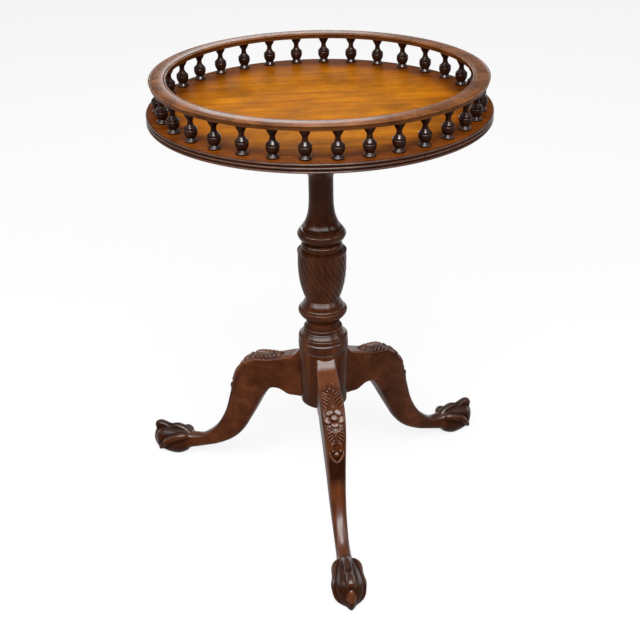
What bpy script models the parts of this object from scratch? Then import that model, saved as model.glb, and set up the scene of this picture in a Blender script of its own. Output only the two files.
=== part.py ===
"""Pedestal wine table: a round top with a spindle gallery, on a turned pillar with three cabriole legs.

Metres, +Z up, floor at z = 0, front leg towards -Y. The origin is on the floor at the centre of the table's
bounding box, so the pillar's axis stands a little behind it. The pieces hang on one empty on that axis.
"""

import math

import bmesh
import bpy
from mathutils import Matrix, Vector

# Fits
GLUE_GAP = 0.0003  # room between two pieces that touch
CUT_OVERRUN = 0.001  # how far a cutter runs past the face it opens

# Top board
TABLE_HEIGHT = 0.710  # floor to the top of the gallery rail
BOARD_DIAMETER = 0.500
BOARD_THICKNESS = 0.0137
EDGE_REEDS = 3
REED_DEPTH = 0.0024  # how far each reed stands out of the quirks beside it

# Gallery rail
RAIL_SETBACK = 0.0067  # board's edge to the rail's outer edge
RAIL_WIDTH = 0.025
RAIL_THICKNESS = 0.0085
RAIL_FASCIA_INSET = 0.0018  # the narrower lower band under the rail's bead
RAIL_FASCIA_HEIGHT = 0.0050
RAIL_EDGE_DROP = 0.0022  # crown down to the foot of the rounded edge
RAIL_EDGE_ROUND = 0.0020
RAIL_CROWN_FALL = 0.0008  # crown down to the shoulder inside the rounded edge
RAIL_ARCS = 3
RAIL_SCARF_DEG = 45.0  # slant of the glued ends, seen from above
FIRST_SCARF_DEG = 180.0  # where the first scarf and the spindle under it stand

# Gallery spindles
SPINDLES_PER_ARC = 11
SPINDLE_HEIGHT = 0.0405  # board to rail
SPINDLE_FOOT_DIAMETER = 0.0160
SPINDLE_FOOT_HEIGHT = 0.0045
SPINDLE_QUIRK_DIAMETER = 0.0116
SPINDLE_QUIRK_HEIGHT = 0.0060
SPINDLE_BULB_DIAMETER = 0.0184
SPINDLE_BULB_HEIGHT = 0.0152
SPINDLE_NECK_DIAMETER = 0.0070
SPINDLE_NECK_HEIGHT = 0.0285
SPINDLE_HEAD_DIAMETER = 0.0164
SPINDLE_DRIFT_DEG = 3.3  # most that the first arc's spindles stand off even spacing
SPINDLE_DRIFT_SKEW = 0.75
PIN_DIAMETER = 0.006
PIN_LENGTH_IN_BOARD = 0.008
PIN_LENGTH_IN_RAIL = 0.005

# Block under the board, with the pillar's wedged tenon
BLOCK_SIZE = 0.130
BLOCK_THICKNESS = 0.022
BLOCK_CHAMFER = 0.006
TENON_DIAMETER = 0.032
WEDGE_THICKNESS = 0.003
WEDGE_POINT = 0.001
WEDGE_LENGTH = 0.016

# Wood screws
SCREW_HEAD_DIAMETER = 0.0085
SCREW_HEAD_HEIGHT = 0.0028
SCREW_SHANK_DIAMETER = 0.0042
SCREW_POINT_HEIGHT = 0.004
SCREW_TIP_DIAMETER = 0.0008
SCREW_SLOT_WIDTH = 0.0010
SCREW_SLOT_DEPTH = 0.0010
BLOCK_SCREW_BITE = 0.009  # length in the board
BLOCK_SCREW_INSET = 0.020  # from the block's sides
CAP_SCREW_BITE = 0.024  # length in the hub

# Pillar shaft, with its bell foot and the flare under the block
SHAFT_RADIUS = 0.0187
BELL_RADIUS = 0.0295
BELL_SHARE = 0.374  # of the shaft's height
BELL_STEEPNESS = 3.4
CAPITAL_RADIUS = 0.032
CAPITAL_SHARE = 0.50  # of the shaft's height, from the block down to the flare's foot
CAPITAL_NECK_RADIUS = 0.030
CAPITAL_BAND_SHARE = 0.398  # of the shaft's height, from the block down to the collar's foot
CAPITAL_BAND_HEIGHT = 0.010
CAPITAL_DRUM_RADIUS = 0.028
SPIGOT_DIAMETER = 0.025
SPIGOT_LENGTH = 0.028

# Pillar urn, from its lower ring up to its upper ring
URN_RADIUS = 0.0375
URN_BODY_HEIGHT = 0.0690
URN_BAND_HEIGHT = 0.0165
URN_SHOULDER_HEIGHT = 0.0120
URN_FULLNESS = 2.2
WAIST_RADIUS = 0.0240
LOWER_NECK_HEIGHT = 0.0095
LOWER_RING_RADIUS = 0.0379
LOWER_RING_HEIGHT = 0.0300
UPPER_NECK_RADIUS = 0.0245
UPPER_NECK_HEIGHT = 0.0050
UPPER_RING_RADIUS = 0.0367
UPPER_RING_HEIGHT = 0.0245
FLUTES = 24
FLUTE_DEPTH = 0.0013
FLUTE_TWIST_DEG = 83.0
FLUTE_TWIST_GROWTH = 1.35  # the flutes start upright and lean more towards the foot

# Pillar hub
HUB_RADIUS = 0.0385
HUB_BOTTOM_Z = 0.172
HUB_BAND_Z = 0.267
HUB_BAND_RADIUS = 0.0393
HUB_BAND_HEIGHT = 0.0145
HUB_QUIRK = 0.0014
HUB_BEAD_HEIGHT = 0.0072
HUB_BEAD_SHOULDER = 0.3  # share of a bead's height up to its widest point, and the same from its top
HUB_BEADS = 3
HUB_DOME_FULLNESS = 1.7
HUB_TOP_FILLET = 0.0030
CAP_HEIGHT = 0.009
CAP_STRAIGHT = 0.002
CAP_BOTTOM_RADIUS = 0.025

# Leg joint: a shoulder let into the hub, and a dovetail tongue slid in from below
LEG_LET_IN = 0.0005
TONGUE_DEPTH = 0.014
TONGUE_ROOT_WIDTH = 0.013
TONGUE_TIP_WIDTH = 0.019
TONGUE_BURIED = 0.003  # how far the tongue's body runs on into the leg
TONGUE_TOP_DROP = 0.012  # below the leg's top
TONGUE_FOOT_RISE = 0.002  # above the hub's underside

# Cabriole leg
LEG_ANGLES_DEG = {"leg_front": 0.0, "leg_right": 120.0, "leg_left": 240.0}
LEG_TOP_DROP = 0.005  # hub's band down to the leg's top
LEG_ROOT_WIDTH = 0.0325
LEG_KNEE_WIDTH = 0.0375
LEG_ANKLE_WIDTH = 0.0216
FOOT_CIRCLE_RADIUS = 0.287  # pillar's axis to the ball's centre

# Claw and ball
BALL_LENGTH = 0.072
BALL_WIDTH = 0.043
BALL_HEIGHT = 0.053
SOLE_CUT = 0.0025  # how much of the ball the floor takes off
CLAW_RISE = 0.0064  # how far the middle claw's knuckle stands over the ball
SIDE_CLAW_SPAN_DEG = 17.0  # half of what a side claw takes up round the foot
CLAW_SHOULDER = 0.70  # where a claw's shoulder lies between crest and edge
CLAW_SHOULDER_RISE = 0.80  # height of the shoulder as a share of the crest's

# Facets
BOARD_SIDES = 66
REED_STEPS = 3
RING_STEPS = 6
ARC_STEPS = 3  # of a quarter round
BELL_STEPS = 6
URN_STEPS = 6
RAIL_STEPS = 20
SPINDLE_SIDES = 8
PILLAR_SIDES = 24
URN_POINTS_PER_FLUTE = 2
SCREW_SIDES = 10
LEG_SIDES = 22
LEG_STEPS = 2
SMOOTH_ANGLE_DEG = 40.0

# Colours (linear), roughness and metallic value
MATERIALS = {
    "amber_mahogany": ((0.38, 0.155, 0.035), 0.35, 0.0),
    "rail_mahogany": ((0.25, 0.095, 0.038), 0.35, 0.0),
    "ebonised_mahogany": ((0.028, 0.014, 0.011), 0.40, 0.0),
    "dark_mahogany": ((0.045, 0.018, 0.011), 0.35, 0.0),
    "leg_mahogany": ((0.075, 0.024, 0.012), 0.35, 0.0),
    "plain_beech": ((0.36, 0.22, 0.11), 0.60, 0.0),
    "steel": ((0.45, 0.44, 0.42), 0.40, 1.0),
}

# Leg outline: top line (share of the run from hub to ball centre, share of the leg top's height), under line
# (share of the same run, share of the hub's underside height), share of the knee's width over the ankle's,
# squareness of the section
LEG_STATIONS = (
    (0.046, 0.946, 0.042, 1.000, None, 9.0),
    (0.104, 0.922, 0.092, 1.000, None, 9.0),
    (0.216, 0.884, 0.158, 1.040, None, 8.0),
    (0.356, 0.856, 0.224, 1.016, 1.00, 6.5),
    (0.455, 0.766, 0.290, 0.888, 0.86, 5.0),
    (0.503, 0.658, 0.346, 0.730, 0.64, 4.0),
    (0.535, 0.553, 0.398, 0.588, 0.45, 3.3),
    (0.581, 0.412, 0.456, 0.442, 0.26, 2.9),
    (0.656, 0.286, 0.534, 0.320, 0.10, 2.6),
    (0.764, 0.194, 0.648, 0.216, 0.00, 2.4),
    (0.840, 0.174, 0.775, 0.140, 0.05, 2.3),
)

# Foot sections, as shares of the ball's half length, half height and half width from its centre: place
# along the foot, top, underside, half width; then half the middle claw's span in degrees and its rise, and
# the angle of the side claws above the level and their rise, as shares of the claws' rise
FOOT_STATIONS = (
    (-0.90, 0.83, -0.36, 0.66, 20.0, 0.12, 44.0, 0.19),
    (-0.72, 0.93, -0.62, 0.85, 20.0, 0.47, 41.0, 0.66),
    (-0.50, 0.99, -0.82, 0.95, 20.0, 0.81, 36.0, 0.94),
    (-0.25, 1.01, -0.96, 1.00, 19.0, 1.00, 28.0, 0.78),
    (0.00, 1.00, -1.00, 1.00, 18.0, 0.78, 17.0, 0.72),
    (0.25, 0.96, -0.98, 0.99, 18.0, 0.66, 1.0, 0.94),
    (0.48, 0.90, -0.92, 0.95, 20.0, 1.15, -23.0, 0.86),
    (0.68, 0.80, -0.87, 0.82, 25.0, 1.75, -44.0, 0.42),
    (0.82, 0.62, -0.88, 0.62, 30.0, 1.95, -53.0, 0.0),
    (0.90, 0.52, -0.88, 0.46, 33.0, 1.30, -55.0, 0.0),
    (0.96, 0.46, -0.88, 0.35, 33.0, 0.45, -55.0, 0.0),
    (1.03, 0.44, -0.80, 0.26, 33.0, 0.0, -55.0, 0.0),
    (1.10, 0.24, -0.62, 0.19, 33.0, 0.0, -55.0, 0.0),
    (1.16, -0.08, -0.38, 0.09, 33.0, 0.0, -55.0, 0.0),
)

# Levels and places that follow from the sizes above
BOARD_RADIUS = BOARD_DIAMETER / 2
RAIL_BOTTOM_Z = TABLE_HEIGHT - RAIL_THICKNESS
BOARD_TOP_Z = RAIL_BOTTOM_Z - SPINDLE_HEIGHT
BOARD_BOTTOM_Z = BOARD_TOP_Z - BOARD_THICKNESS
BLOCK_BOTTOM_Z = BOARD_BOTTOM_Z - BLOCK_THICKNESS
RAIL_RADIUS = BOARD_RADIUS - RAIL_SETBACK - RAIL_WIDTH / 2
SPINDLES = RAIL_ARCS * SPINDLES_PER_ARC
LEG_TOP_Z = HUB_BAND_Z - LEG_TOP_DROP
HUB_DOME_Z = HUB_BAND_Z + HUB_BAND_HEIGHT
HUB_TOP_Z = HUB_DOME_Z + HUB_BEADS * HUB_BEAD_HEIGHT + HUB_TOP_FILLET
LOWER_RING_Z = HUB_TOP_Z + LOWER_NECK_HEIGHT
URN_BODY_Z = LOWER_RING_Z + LOWER_RING_HEIGHT
URN_BAND_Z = URN_BODY_Z + URN_BODY_HEIGHT
UPPER_NECK_Z = URN_BAND_Z + URN_BAND_HEIGHT + URN_SHOULDER_HEIGHT
UPPER_RING_Z = UPPER_NECK_Z + UPPER_NECK_HEIGHT
URN_TOP_Z = UPPER_RING_Z + UPPER_RING_HEIGHT
HUB_FLAT = math.sqrt(HUB_RADIUS**2 - (LEG_ROOT_WIDTH / 2) ** 2) - LEG_LET_IN
LEG_START = HUB_FLAT + GLUE_GAP
LEG_RUN = FOOT_CIRCLE_RADIUS - LEG_START
BALL_CENTRE_Z = BALL_HEIGHT / 2 - SOLE_CUT
FOOT_REACH = FOOT_CIRCLE_RADIUS + FOOT_STATIONS[-1][0] * BALL_LENGTH / 2
SIDE_REACH = math.sin(math.radians(30.0)) * FOOT_REACH
AXIS_Y = (FOOT_REACH - max(BOARD_RADIUS, SIDE_REACH)) / 2


def clear_scene():
    for old in list(bpy.data.objects):
        bpy.data.objects.remove(old)


def make_materials():
    made = {}
    for name, (colour, roughness, metallic) in MATERIALS.items():
        finish = bpy.data.materials.new(name)
        finish.use_nodes = True
        shader = finish.node_tree.nodes["Principled BSDF"]
        shader.inputs["Base Color"].default_value = (*colour, 1.0)
        shader.inputs["Roughness"].default_value = roughness
        shader.inputs["Metallic"].default_value = metallic
        made[name] = finish
    return made


def mesh_of(shape, name):
    """Turns a bmesh into a smooth-shaded mesh with sharp edges where faces meet at an angle."""
    bmesh.ops.recalc_face_normals(shape, faces=shape.faces)
    mesh = bpy.data.meshes.new(name)
    shape.to_mesh(mesh)
    shape.free()
    mesh.shade_smooth()
    mesh.set_sharp_from_angle(angle=math.radians(SMOOTH_ANGLE_DEG))
    return mesh


def place(name, mesh, material, axis, turn_deg=0.0):
    """A named piece on the pillar's axis, turned about it."""
    piece = bpy.data.objects.new(name, mesh)
    if material not in list(mesh.materials):
        mesh.materials.append(material)
    piece.parent = axis
    piece.rotation_euler.z = math.radians(turn_deg)
    bpy.context.collection.objects.link(piece)
    return piece


def helper(name, mesh, axis):
    """A cutter or a tool body, which stays out of the object."""
    tool = bpy.data.objects.new(name, mesh)
    tool.parent = axis
    tool.hide_render = True
    tool.display_type = "WIRE"
    bpy.context.collection.objects.link(tool)
    return tool


def boolean(piece, tool, operation):
    change = piece.modifiers.new(tool.name, "BOOLEAN")
    change.operation = operation
    change.solver = "EXACT"
    change.object = tool


def polar(radius, angle_deg, z):
    angle = math.radians(angle_deg)
    return Vector((radius * math.cos(angle), radius * math.sin(angle), z))


def skin_rings(shape, rings):
    """Closes a row of equal rings of points into one body with flat ends."""
    loops = [[shape.verts.new(point) for point in ring] for ring in rings]
    count = len(loops[0])
    for low, high in zip(loops, loops[1:]):
        for k in range(count):
            after = (k + 1) % count
            shape.faces.new((low[k], low[after], high[after], high[k]))
    shape.faces.new(list(reversed(loops[0])))
    shape.faces.new(loops[-1])


def turn(shape, profile, sides, centre=(0.0, 0.0), start_deg=0.0):
    """Turns a profile of (radius, z) points, listed from the bottom up, about an upright axis."""
    offset = Vector((centre[0], centre[1], 0.0))
    rings = []
    for radius, z in profile:
        ring = [polar(radius, start_deg + 360.0 * k / sides, z) + offset for k in range(sides)]
        rings.append(ring)
    skin_rings(shape, rings)


def turned_mesh(name, profile, sides):
    shape = bmesh.new()
    turn(shape, profile, sides)
    return mesh_of(shape, name)


def bead(low_radius, middle_radius, high_radius, low_z, high_z, steps):
    """Half-round moulding from one radius out to the middle one and back to the other."""
    points = []
    for k in range(steps + 1):
        angle = math.pi * (k / steps - 0.5)
        edge = low_radius if angle < 0.0 else high_radius
        radius = edge + (middle_radius - edge) * math.cos(angle)
        points.append((radius, (low_z + high_z) / 2 + (high_z - low_z) / 2 * math.sin(angle)))
    return points


def smooth_line(points, steps):
    """Points on a curve that runs smoothly through all the given ones (Catmull-Rom)."""
    last = len(points) - 1
    line = []
    for i in range(last):
        quad = (points[max(i - 1, 0)], points[i], points[i + 1], points[min(i + 2, last)])
        for k in range(steps):
            t = k / steps
            line.append(
                tuple(
                    b + t * (c - a + t * (2 * a - 5 * b + 4 * c - d + t * (3 * b - a - 3 * c + d))) / 2
                    for a, b, c, d in zip(*quad)
                )
            )
    line.append(tuple(points[-1]))
    return line


def prism(shape, outline, low_z, high_z):
    """Upright prism over an outline of (x, y) points, listed anticlockwise."""
    skin_rings(shape, [[Vector((x, y, z)) for x, y in outline] for z in (low_z, high_z)])


def spindle_angles():
    """Even spacing, but for the first arc, whose spindles stand a little further round."""
    angles = []
    for k in range(SPINDLES):
        drift = 0.0
        if k < SPINDLES_PER_ARC:
            drift = SPINDLE_DRIFT_DEG * math.sin(math.pi * (k / SPINDLES_PER_ARC) ** SPINDLE_DRIFT_SKEW)
        angles.append(FIRST_SCARF_DEG + 360.0 * k / SPINDLES + drift)
    return angles


def pin_holes(name, low_z, high_z, axis):
    """Cutter for every spindle's pin, with glue room round it."""
    shape = bmesh.new()
    radius = PIN_DIAMETER / 2 + GLUE_GAP
    for angle in spindle_angles():
        spot = polar(RAIL_RADIUS, angle, 0.0)
        turn(shape, [(radius, low_z), (radius, high_z)], SPINDLE_SIDES, spot.xy, angle)
    return helper(name, mesh_of(shape, name), axis)


def screw_profile(bottom_z, length, grow=0.0):
    """Countersunk screw pointing up; grow makes the hole for it."""
    head = SCREW_HEAD_DIAMETER / 2 + grow
    shank = SCREW_SHANK_DIAMETER / 2 + grow
    tip = SCREW_TIP_DIAMETER / 2 + grow
    top_z = bottom_z + length + grow
    start_z = bottom_z - CUT_OVERRUN if grow else bottom_z
    profile = [(head, start_z)]
    if grow:
        profile.append((head, bottom_z + grow))
    profile.append((shank, bottom_z + SCREW_HEAD_HEIGHT + grow))
    profile.append((shank, top_z - SCREW_POINT_HEIGHT))
    profile.append((tip, top_z))
    return profile


def block_screw_places():
    reach = BLOCK_SIZE / 2 - BLOCK_SCREW_INSET
    return [(reach * sx, reach * sy) for sx, sy in ((-1, -1), (1, -1), (1, 1), (-1, 1))]


def screw_holes(name, bottom_z, length, places, axis):
    shape = bmesh.new()
    for spot in places:
        turn(shape, screw_profile(bottom_z, length, GLUE_GAP), SCREW_SIDES, spot)
    return helper(name, mesh_of(shape, name), axis)


def make_screws(name, bottom_z, length, places, material, axis):
    """Screws with a slot across the head, which looks down."""
    slots = bmesh.new()
    half = SCREW_SLOT_WIDTH / 2
    run = SCREW_HEAD_DIAMETER
    for x, y in places:
        outline = [(x - run, y - half), (x + run, y - half), (x + run, y + half), (x - run, y + half)]
        prism(slots, outline, bottom_z - CUT_OVERRUN, bottom_z + SCREW_SLOT_DEPTH)
    slot_tool = helper(name + "_slots", mesh_of(slots, name + "_slots"), axis)
    for number, spot in enumerate(places, 1):
        label = name if len(places) == 1 else f"{name}_{number}"
        shape = bmesh.new()
        turn(shape, screw_profile(bottom_z, length), SCREW_SIDES, spot)
        screw = place(label, mesh_of(shape, label), material, axis)
        boolean(screw, slot_tool, "DIFFERENCE")


def make_board(materials, axis):
    reed = BOARD_THICKNESS / EDGE_REEDS
    profile = []
    for k in range(EDGE_REEDS):
        low_z = BOARD_BOTTOM_Z + k * reed
        inner = BOARD_RADIUS - REED_DEPTH
        arc = bead(inner, BOARD_RADIUS, inner, low_z, low_z + reed, REED_STEPS)
        profile += arc if k == 0 else arc[1:]
    mesh = turned_mesh("top_board", profile, BOARD_SIDES)
    board = place("top_board", mesh, materials["amber_mahogany"], axis)
    pin_bottom_z = BOARD_TOP_Z - PIN_LENGTH_IN_BOARD - GLUE_GAP
    holes = pin_holes("board_pin_holes", pin_bottom_z, BOARD_TOP_Z + CUT_OVERRUN, axis)
    boolean(board, holes, "DIFFERENCE")
    return board


def spindle_profile():
    foot_z = BOARD_TOP_Z + GLUE_GAP
    head_z = RAIL_BOTTOM_Z - GLUE_GAP
    pin = PIN_DIAMETER / 2
    return [
        (pin, BOARD_TOP_Z - PIN_LENGTH_IN_BOARD),
        (pin, foot_z),
        (SPINDLE_FOOT_DIAMETER / 2, foot_z),
        (SPINDLE_FOOT_DIAMETER / 2, BOARD_TOP_Z + SPINDLE_FOOT_HEIGHT),
        (SPINDLE_QUIRK_DIAMETER / 2, BOARD_TOP_Z + SPINDLE_QUIRK_HEIGHT),
        (SPINDLE_BULB_DIAMETER / 2, BOARD_TOP_Z + SPINDLE_BULB_HEIGHT),
        (SPINDLE_NECK_DIAMETER / 2, BOARD_TOP_Z + SPINDLE_NECK_HEIGHT),
        (SPINDLE_HEAD_DIAMETER / 2, head_z),
        (pin, head_z),
        (pin, RAIL_BOTTOM_Z + PIN_LENGTH_IN_RAIL),
    ]


def make_spindles(materials, axis):
    profile = spindle_profile()
    for number, angle in enumerate(spindle_angles(), 1):
        name = f"spindle_{number:02d}"
        shape = bmesh.new()
        turn(shape, profile, SPINDLE_SIDES, polar(RAIL_RADIUS, angle, 0.0).xy, angle)
        place(name, mesh_of(shape, name), materials["ebonised_mahogany"], axis)


def rail_profile():
    """Half of the rail's section as (distance from the middle line, height), from the bottom to the crown."""
    edge = RAIL_WIDTH / 2
    fascia = edge - RAIL_FASCIA_INSET
    bead_z = RAIL_FASCIA_HEIGHT + RAIL_FASCIA_INSET / 2
    return [
        (fascia, 0.0),
        (fascia, RAIL_FASCIA_HEIGHT),
        (edge, bead_z),
        (edge, RAIL_THICKNESS - RAIL_EDGE_DROP),
        (edge - RAIL_EDGE_ROUND, RAIL_THICKNESS - RAIL_CROWN_FALL),
        (edge / 2, RAIL_THICKNESS),
    ]


def make_rail(materials, axis):
    """Arcs whose every cross-section is slanted like the scarfed ends, so the ends stay parallel."""
    half = rail_profile()
    section = half + [(-across, height) for across, height in reversed(half)]
    slant = math.tan(math.radians(RAIL_SCARF_DEG))
    gap_deg = math.degrees(GLUE_GAP / RAIL_RADIUS / math.cos(math.radians(RAIL_SCARF_DEG)))
    sockets = pin_holes(
        "rail_pin_holes",
        RAIL_BOTTOM_Z - CUT_OVERRUN,
        RAIL_BOTTOM_Z + PIN_LENGTH_IN_RAIL + GLUE_GAP,
        axis,
    )
    span = 360.0 / RAIL_ARCS
    for arc in range(RAIL_ARCS):
        start = FIRST_SCARF_DEG + arc * span + gap_deg / 2
        rings = []
        for k in range(RAIL_STEPS + 1):
            station = start + (span - gap_deg) * k / RAIL_STEPS
            ring = []
            for across, height in section:
                lag = math.degrees(across * slant / RAIL_RADIUS)
                ring.append(polar(RAIL_RADIUS + across, station + lag, RAIL_BOTTOM_Z + height))
            rings.append(ring)
        shape = bmesh.new()
        skin_rings(shape, rings)
        name = f"rail_arc_{arc + 1}"
        piece = place(name, mesh_of(shape, name), materials["rail_mahogany"], axis)
        boolean(piece, sockets, "DIFFERENCE")


def make_block(materials, axis, board):
    """Square block with its lower edges chamfered, bored for the tenon and the screws."""
    half = BLOCK_SIZE / 2
    top_z = BOARD_BOTTOM_Z - GLUE_GAP
    rings = []
    for reach, z in (
        (half - BLOCK_CHAMFER, BLOCK_BOTTOM_Z),
        (half, BLOCK_BOTTOM_Z + BLOCK_CHAMFER),
        (half, top_z),
    ):
        corners = ((-1, -1), (1, -1), (1, 1), (-1, 1))
        rings.append([Vector((reach * sx, reach * sy, z)) for sx, sy in corners])
    shape = bmesh.new()
    skin_rings(shape, rings)
    block = place("top_block", mesh_of(shape, "top_block"), materials["plain_beech"], axis)
    bore = TENON_DIAMETER / 2 + GLUE_GAP
    bore_profile = [(bore, BLOCK_BOTTOM_Z - CUT_OVERRUN), (bore, top_z + CUT_OVERRUN)]
    bore_tool = helper("tenon_bore", turned_mesh("tenon_bore", bore_profile, PILLAR_SIDES), axis)
    boolean(block, bore_tool, "DIFFERENCE")
    length = BLOCK_THICKNESS + BLOCK_SCREW_BITE
    places = block_screw_places()
    holes = screw_holes("block_screw_holes", BLOCK_BOTTOM_Z, length, places, axis)
    boolean(block, holes, "DIFFERENCE")
    boolean(board, holes, "DIFFERENCE")
    make_screws("block_screw", BLOCK_BOTTOM_Z, length, places, materials["steel"], axis)


def spigot_socket(name, mouth_z, axis):
    radius = SPIGOT_DIAMETER / 2 + GLUE_GAP
    profile = [(radius, mouth_z - SPIGOT_LENGTH - GLUE_GAP), (radius, mouth_z + CUT_OVERRUN)]
    return helper(name, turned_mesh(name, profile, PILLAR_SIDES), axis)


def shaft_profile():
    foot_z = URN_TOP_Z + GLUE_GAP
    top_z = BLOCK_BOTTOM_Z - GLUE_GAP
    spigot = SPIGOT_DIAMETER / 2
    profile = [(spigot, URN_TOP_Z - SPIGOT_LENGTH), (spigot, foot_z)]
    height = top_z - foot_z
    for k in range(BELL_STEPS + 1):
        t = k / BELL_STEPS
        swell = (1.0 - t) ** BELL_STEEPNESS
        radius = SHAFT_RADIUS + (BELL_RADIUS - SHAFT_RADIUS) * swell
        profile.append((radius, foot_z + height * BELL_SHARE * t))
    flare_z = top_z - height * CAPITAL_SHARE
    band_z = top_z - height * CAPITAL_BAND_SHARE
    for k in range(ARC_STEPS + 1):
        angle = math.pi / 2 * k / ARC_STEPS
        radius = SHAFT_RADIUS + (CAPITAL_NECK_RADIUS - SHAFT_RADIUS) * (1.0 - math.cos(angle))
        profile.append((radius, flare_z + (band_z - flare_z) * math.sin(angle)))
    drum_z = band_z + CAPITAL_BAND_HEIGHT
    profile += [(CAPITAL_RADIUS, band_z), (CAPITAL_RADIUS, drum_z)]
    profile += [(CAPITAL_DRUM_RADIUS, drum_z), (CAPITAL_DRUM_RADIUS, top_z)]
    tenon = TENON_DIAMETER / 2
    profile += [(tenon, top_z), (tenon, BOARD_BOTTOM_Z - GLUE_GAP)]
    return profile


def wedge_rings(grow):
    """Wedge that tapers downwards across the tenon; grow makes the kerf for it."""
    top_z = BOARD_BOTTOM_Z - GLUE_GAP
    reach = math.sqrt((TENON_DIAMETER / 2) ** 2 - (WEDGE_THICKNESS / 2) ** 2) - GLUE_GAP
    if grow:
        reach += TENON_DIAMETER
    rings = []
    for thickness, z in ((WEDGE_POINT, top_z - WEDGE_LENGTH - grow), (WEDGE_THICKNESS, top_z)):
        half = thickness / 2 + grow
        corners = ((-reach, -half), (reach, -half), (reach, half), (-reach, half))
        rings.append([Vector((x, y, z)) for x, y in corners])
    if grow:
        rings.append([point + Vector((0.0, 0.0, CUT_OVERRUN)) for point in rings[-1]])
    return rings


def make_shaft(materials, axis):
    mesh = turned_mesh("pillar_shaft", shaft_profile(), PILLAR_SIDES)
    shaft = place("pillar_shaft", mesh, materials["dark_mahogany"], axis)
    kerf = bmesh.new()
    skin_rings(kerf, wedge_rings(GLUE_GAP))
    boolean(shaft, helper("wedge_kerf", mesh_of(kerf, "wedge_kerf"), axis), "DIFFERENCE")
    wedge = bmesh.new()
    skin_rings(wedge, wedge_rings(0.0))
    place("tenon_wedge", mesh_of(wedge, "tenon_wedge"), materials["plain_beech"], axis)


def urn_profile():
    """(radius, z, share of the flutes' depth, share of their height) from the spigot up to the upper ring."""
    foot_z = HUB_TOP_Z + GLUE_GAP
    spigot = SPIGOT_DIAMETER / 2
    plain = [(spigot, HUB_TOP_Z - SPIGOT_LENGTH), (spigot, foot_z), (WAIST_RADIUS, foot_z)]
    plain += bead(WAIST_RADIUS, LOWER_RING_RADIUS, WAIST_RADIUS, LOWER_RING_Z, URN_BODY_Z, RING_STEPS)
    points = [(radius, z, 0.0, 0.0) for radius, z in plain]
    shoulder_z = URN_BAND_Z + URN_BAND_HEIGHT
    for k in range(1, URN_STEPS + 1):
        t = k / URN_STEPS
        radius = WAIST_RADIUS + (URN_RADIUS - WAIST_RADIUS) * (1.0 - (1.0 - t) ** URN_FULLNESS)
        z = URN_BODY_Z + URN_BODY_HEIGHT * t
        points.append((radius, z, 1.0, (z - URN_BODY_Z) / (shoulder_z - URN_BODY_Z)))
    points.append((URN_RADIUS, shoulder_z, 0.0, 1.0))
    for k in range(1, ARC_STEPS + 1):
        angle = math.pi / 2 * k / ARC_STEPS
        radius = UPPER_NECK_RADIUS + (URN_RADIUS - UPPER_NECK_RADIUS) * math.cos(angle)
        points.append((radius, shoulder_z + URN_SHOULDER_HEIGHT * math.sin(angle), 0.0, 1.0))
    ring = bead(UPPER_NECK_RADIUS, UPPER_RING_RADIUS, BELL_RADIUS, UPPER_RING_Z, URN_TOP_Z, RING_STEPS)
    points += [(radius, z, 0.0, 1.0) for radius, z in ring]
    return points


def make_urn(materials, axis):
    sides = FLUTES * URN_POINTS_PER_FLUTE
    rings = []
    for radius, z, depth, height in urn_profile():
        twist = FLUTE_TWIST_DEG * (1.0 - height) ** FLUTE_TWIST_GROWTH
        ring = []
        for k in range(sides):
            share = (k % URN_POINTS_PER_FLUTE) / URN_POINTS_PER_FLUTE
            hollow = FLUTE_DEPTH * depth * math.sin(math.pi * share)
            ring.append(polar(radius - hollow, twist + 360.0 * k / sides, z))
        rings.append(ring)
    shape = bmesh.new()
    skin_rings(shape, rings)
    urn = place("pillar_urn", mesh_of(shape, "pillar_urn"), materials["dark_mahogany"], axis)
    boolean(urn, spigot_socket("urn_socket", URN_TOP_Z, axis), "DIFFERENCE")


def hub_profile():
    profile = [
        (HUB_RADIUS, HUB_BOTTOM_Z),
        (HUB_RADIUS, HUB_BAND_Z),
        (HUB_BAND_RADIUS, HUB_BAND_Z + HUB_QUIRK),
        (HUB_BAND_RADIUS, HUB_DOME_Z - HUB_QUIRK),
    ]
    rise = HUB_TOP_Z - HUB_DOME_Z
    for k in range(HUB_BEADS):
        low_z = HUB_DOME_Z + k * HUB_BEAD_HEIGHT
        low_share = (low_z - HUB_DOME_Z) / rise
        high_share = (low_z + HUB_BEAD_HEIGHT - HUB_DOME_Z) / rise
        low, high = (
            WAIST_RADIUS + (HUB_RADIUS - WAIST_RADIUS) * (1.0 - share**HUB_DOME_FULLNESS)
            for share in (low_share, high_share)
        )
        lower_z = low_z + HUB_BEAD_HEIGHT * HUB_BEAD_SHOULDER
        upper_z = low_z + HUB_BEAD_HEIGHT * (1.0 - HUB_BEAD_SHOULDER)
        profile.append((low - HUB_QUIRK, low_z))
        profile.append((low, lower_z))
        profile.append(((low + high) / 2 + HUB_QUIRK / 2, upper_z))
    profile.append((WAIST_RADIUS + HUB_QUIRK, HUB_TOP_Z - HUB_TOP_FILLET))
    profile.append((WAIST_RADIUS, HUB_TOP_Z))
    return profile


def tongue_outline(grow):
    """Dovetail seen from above, wide at its inner end; the leg runs out along -Y."""
    tip = TONGUE_TIP_WIDTH / 2 + grow
    root = TONGUE_ROOT_WIDTH / 2 + grow
    inner = -(HUB_FLAT - TONGUE_DEPTH - grow)
    outer = -(LEG_START + TONGUE_BURIED)
    return [(-tip, inner), (-root, -HUB_FLAT), (-root, outer), (root, outer), (root, -HUB_FLAT), (tip, inner)]


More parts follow.
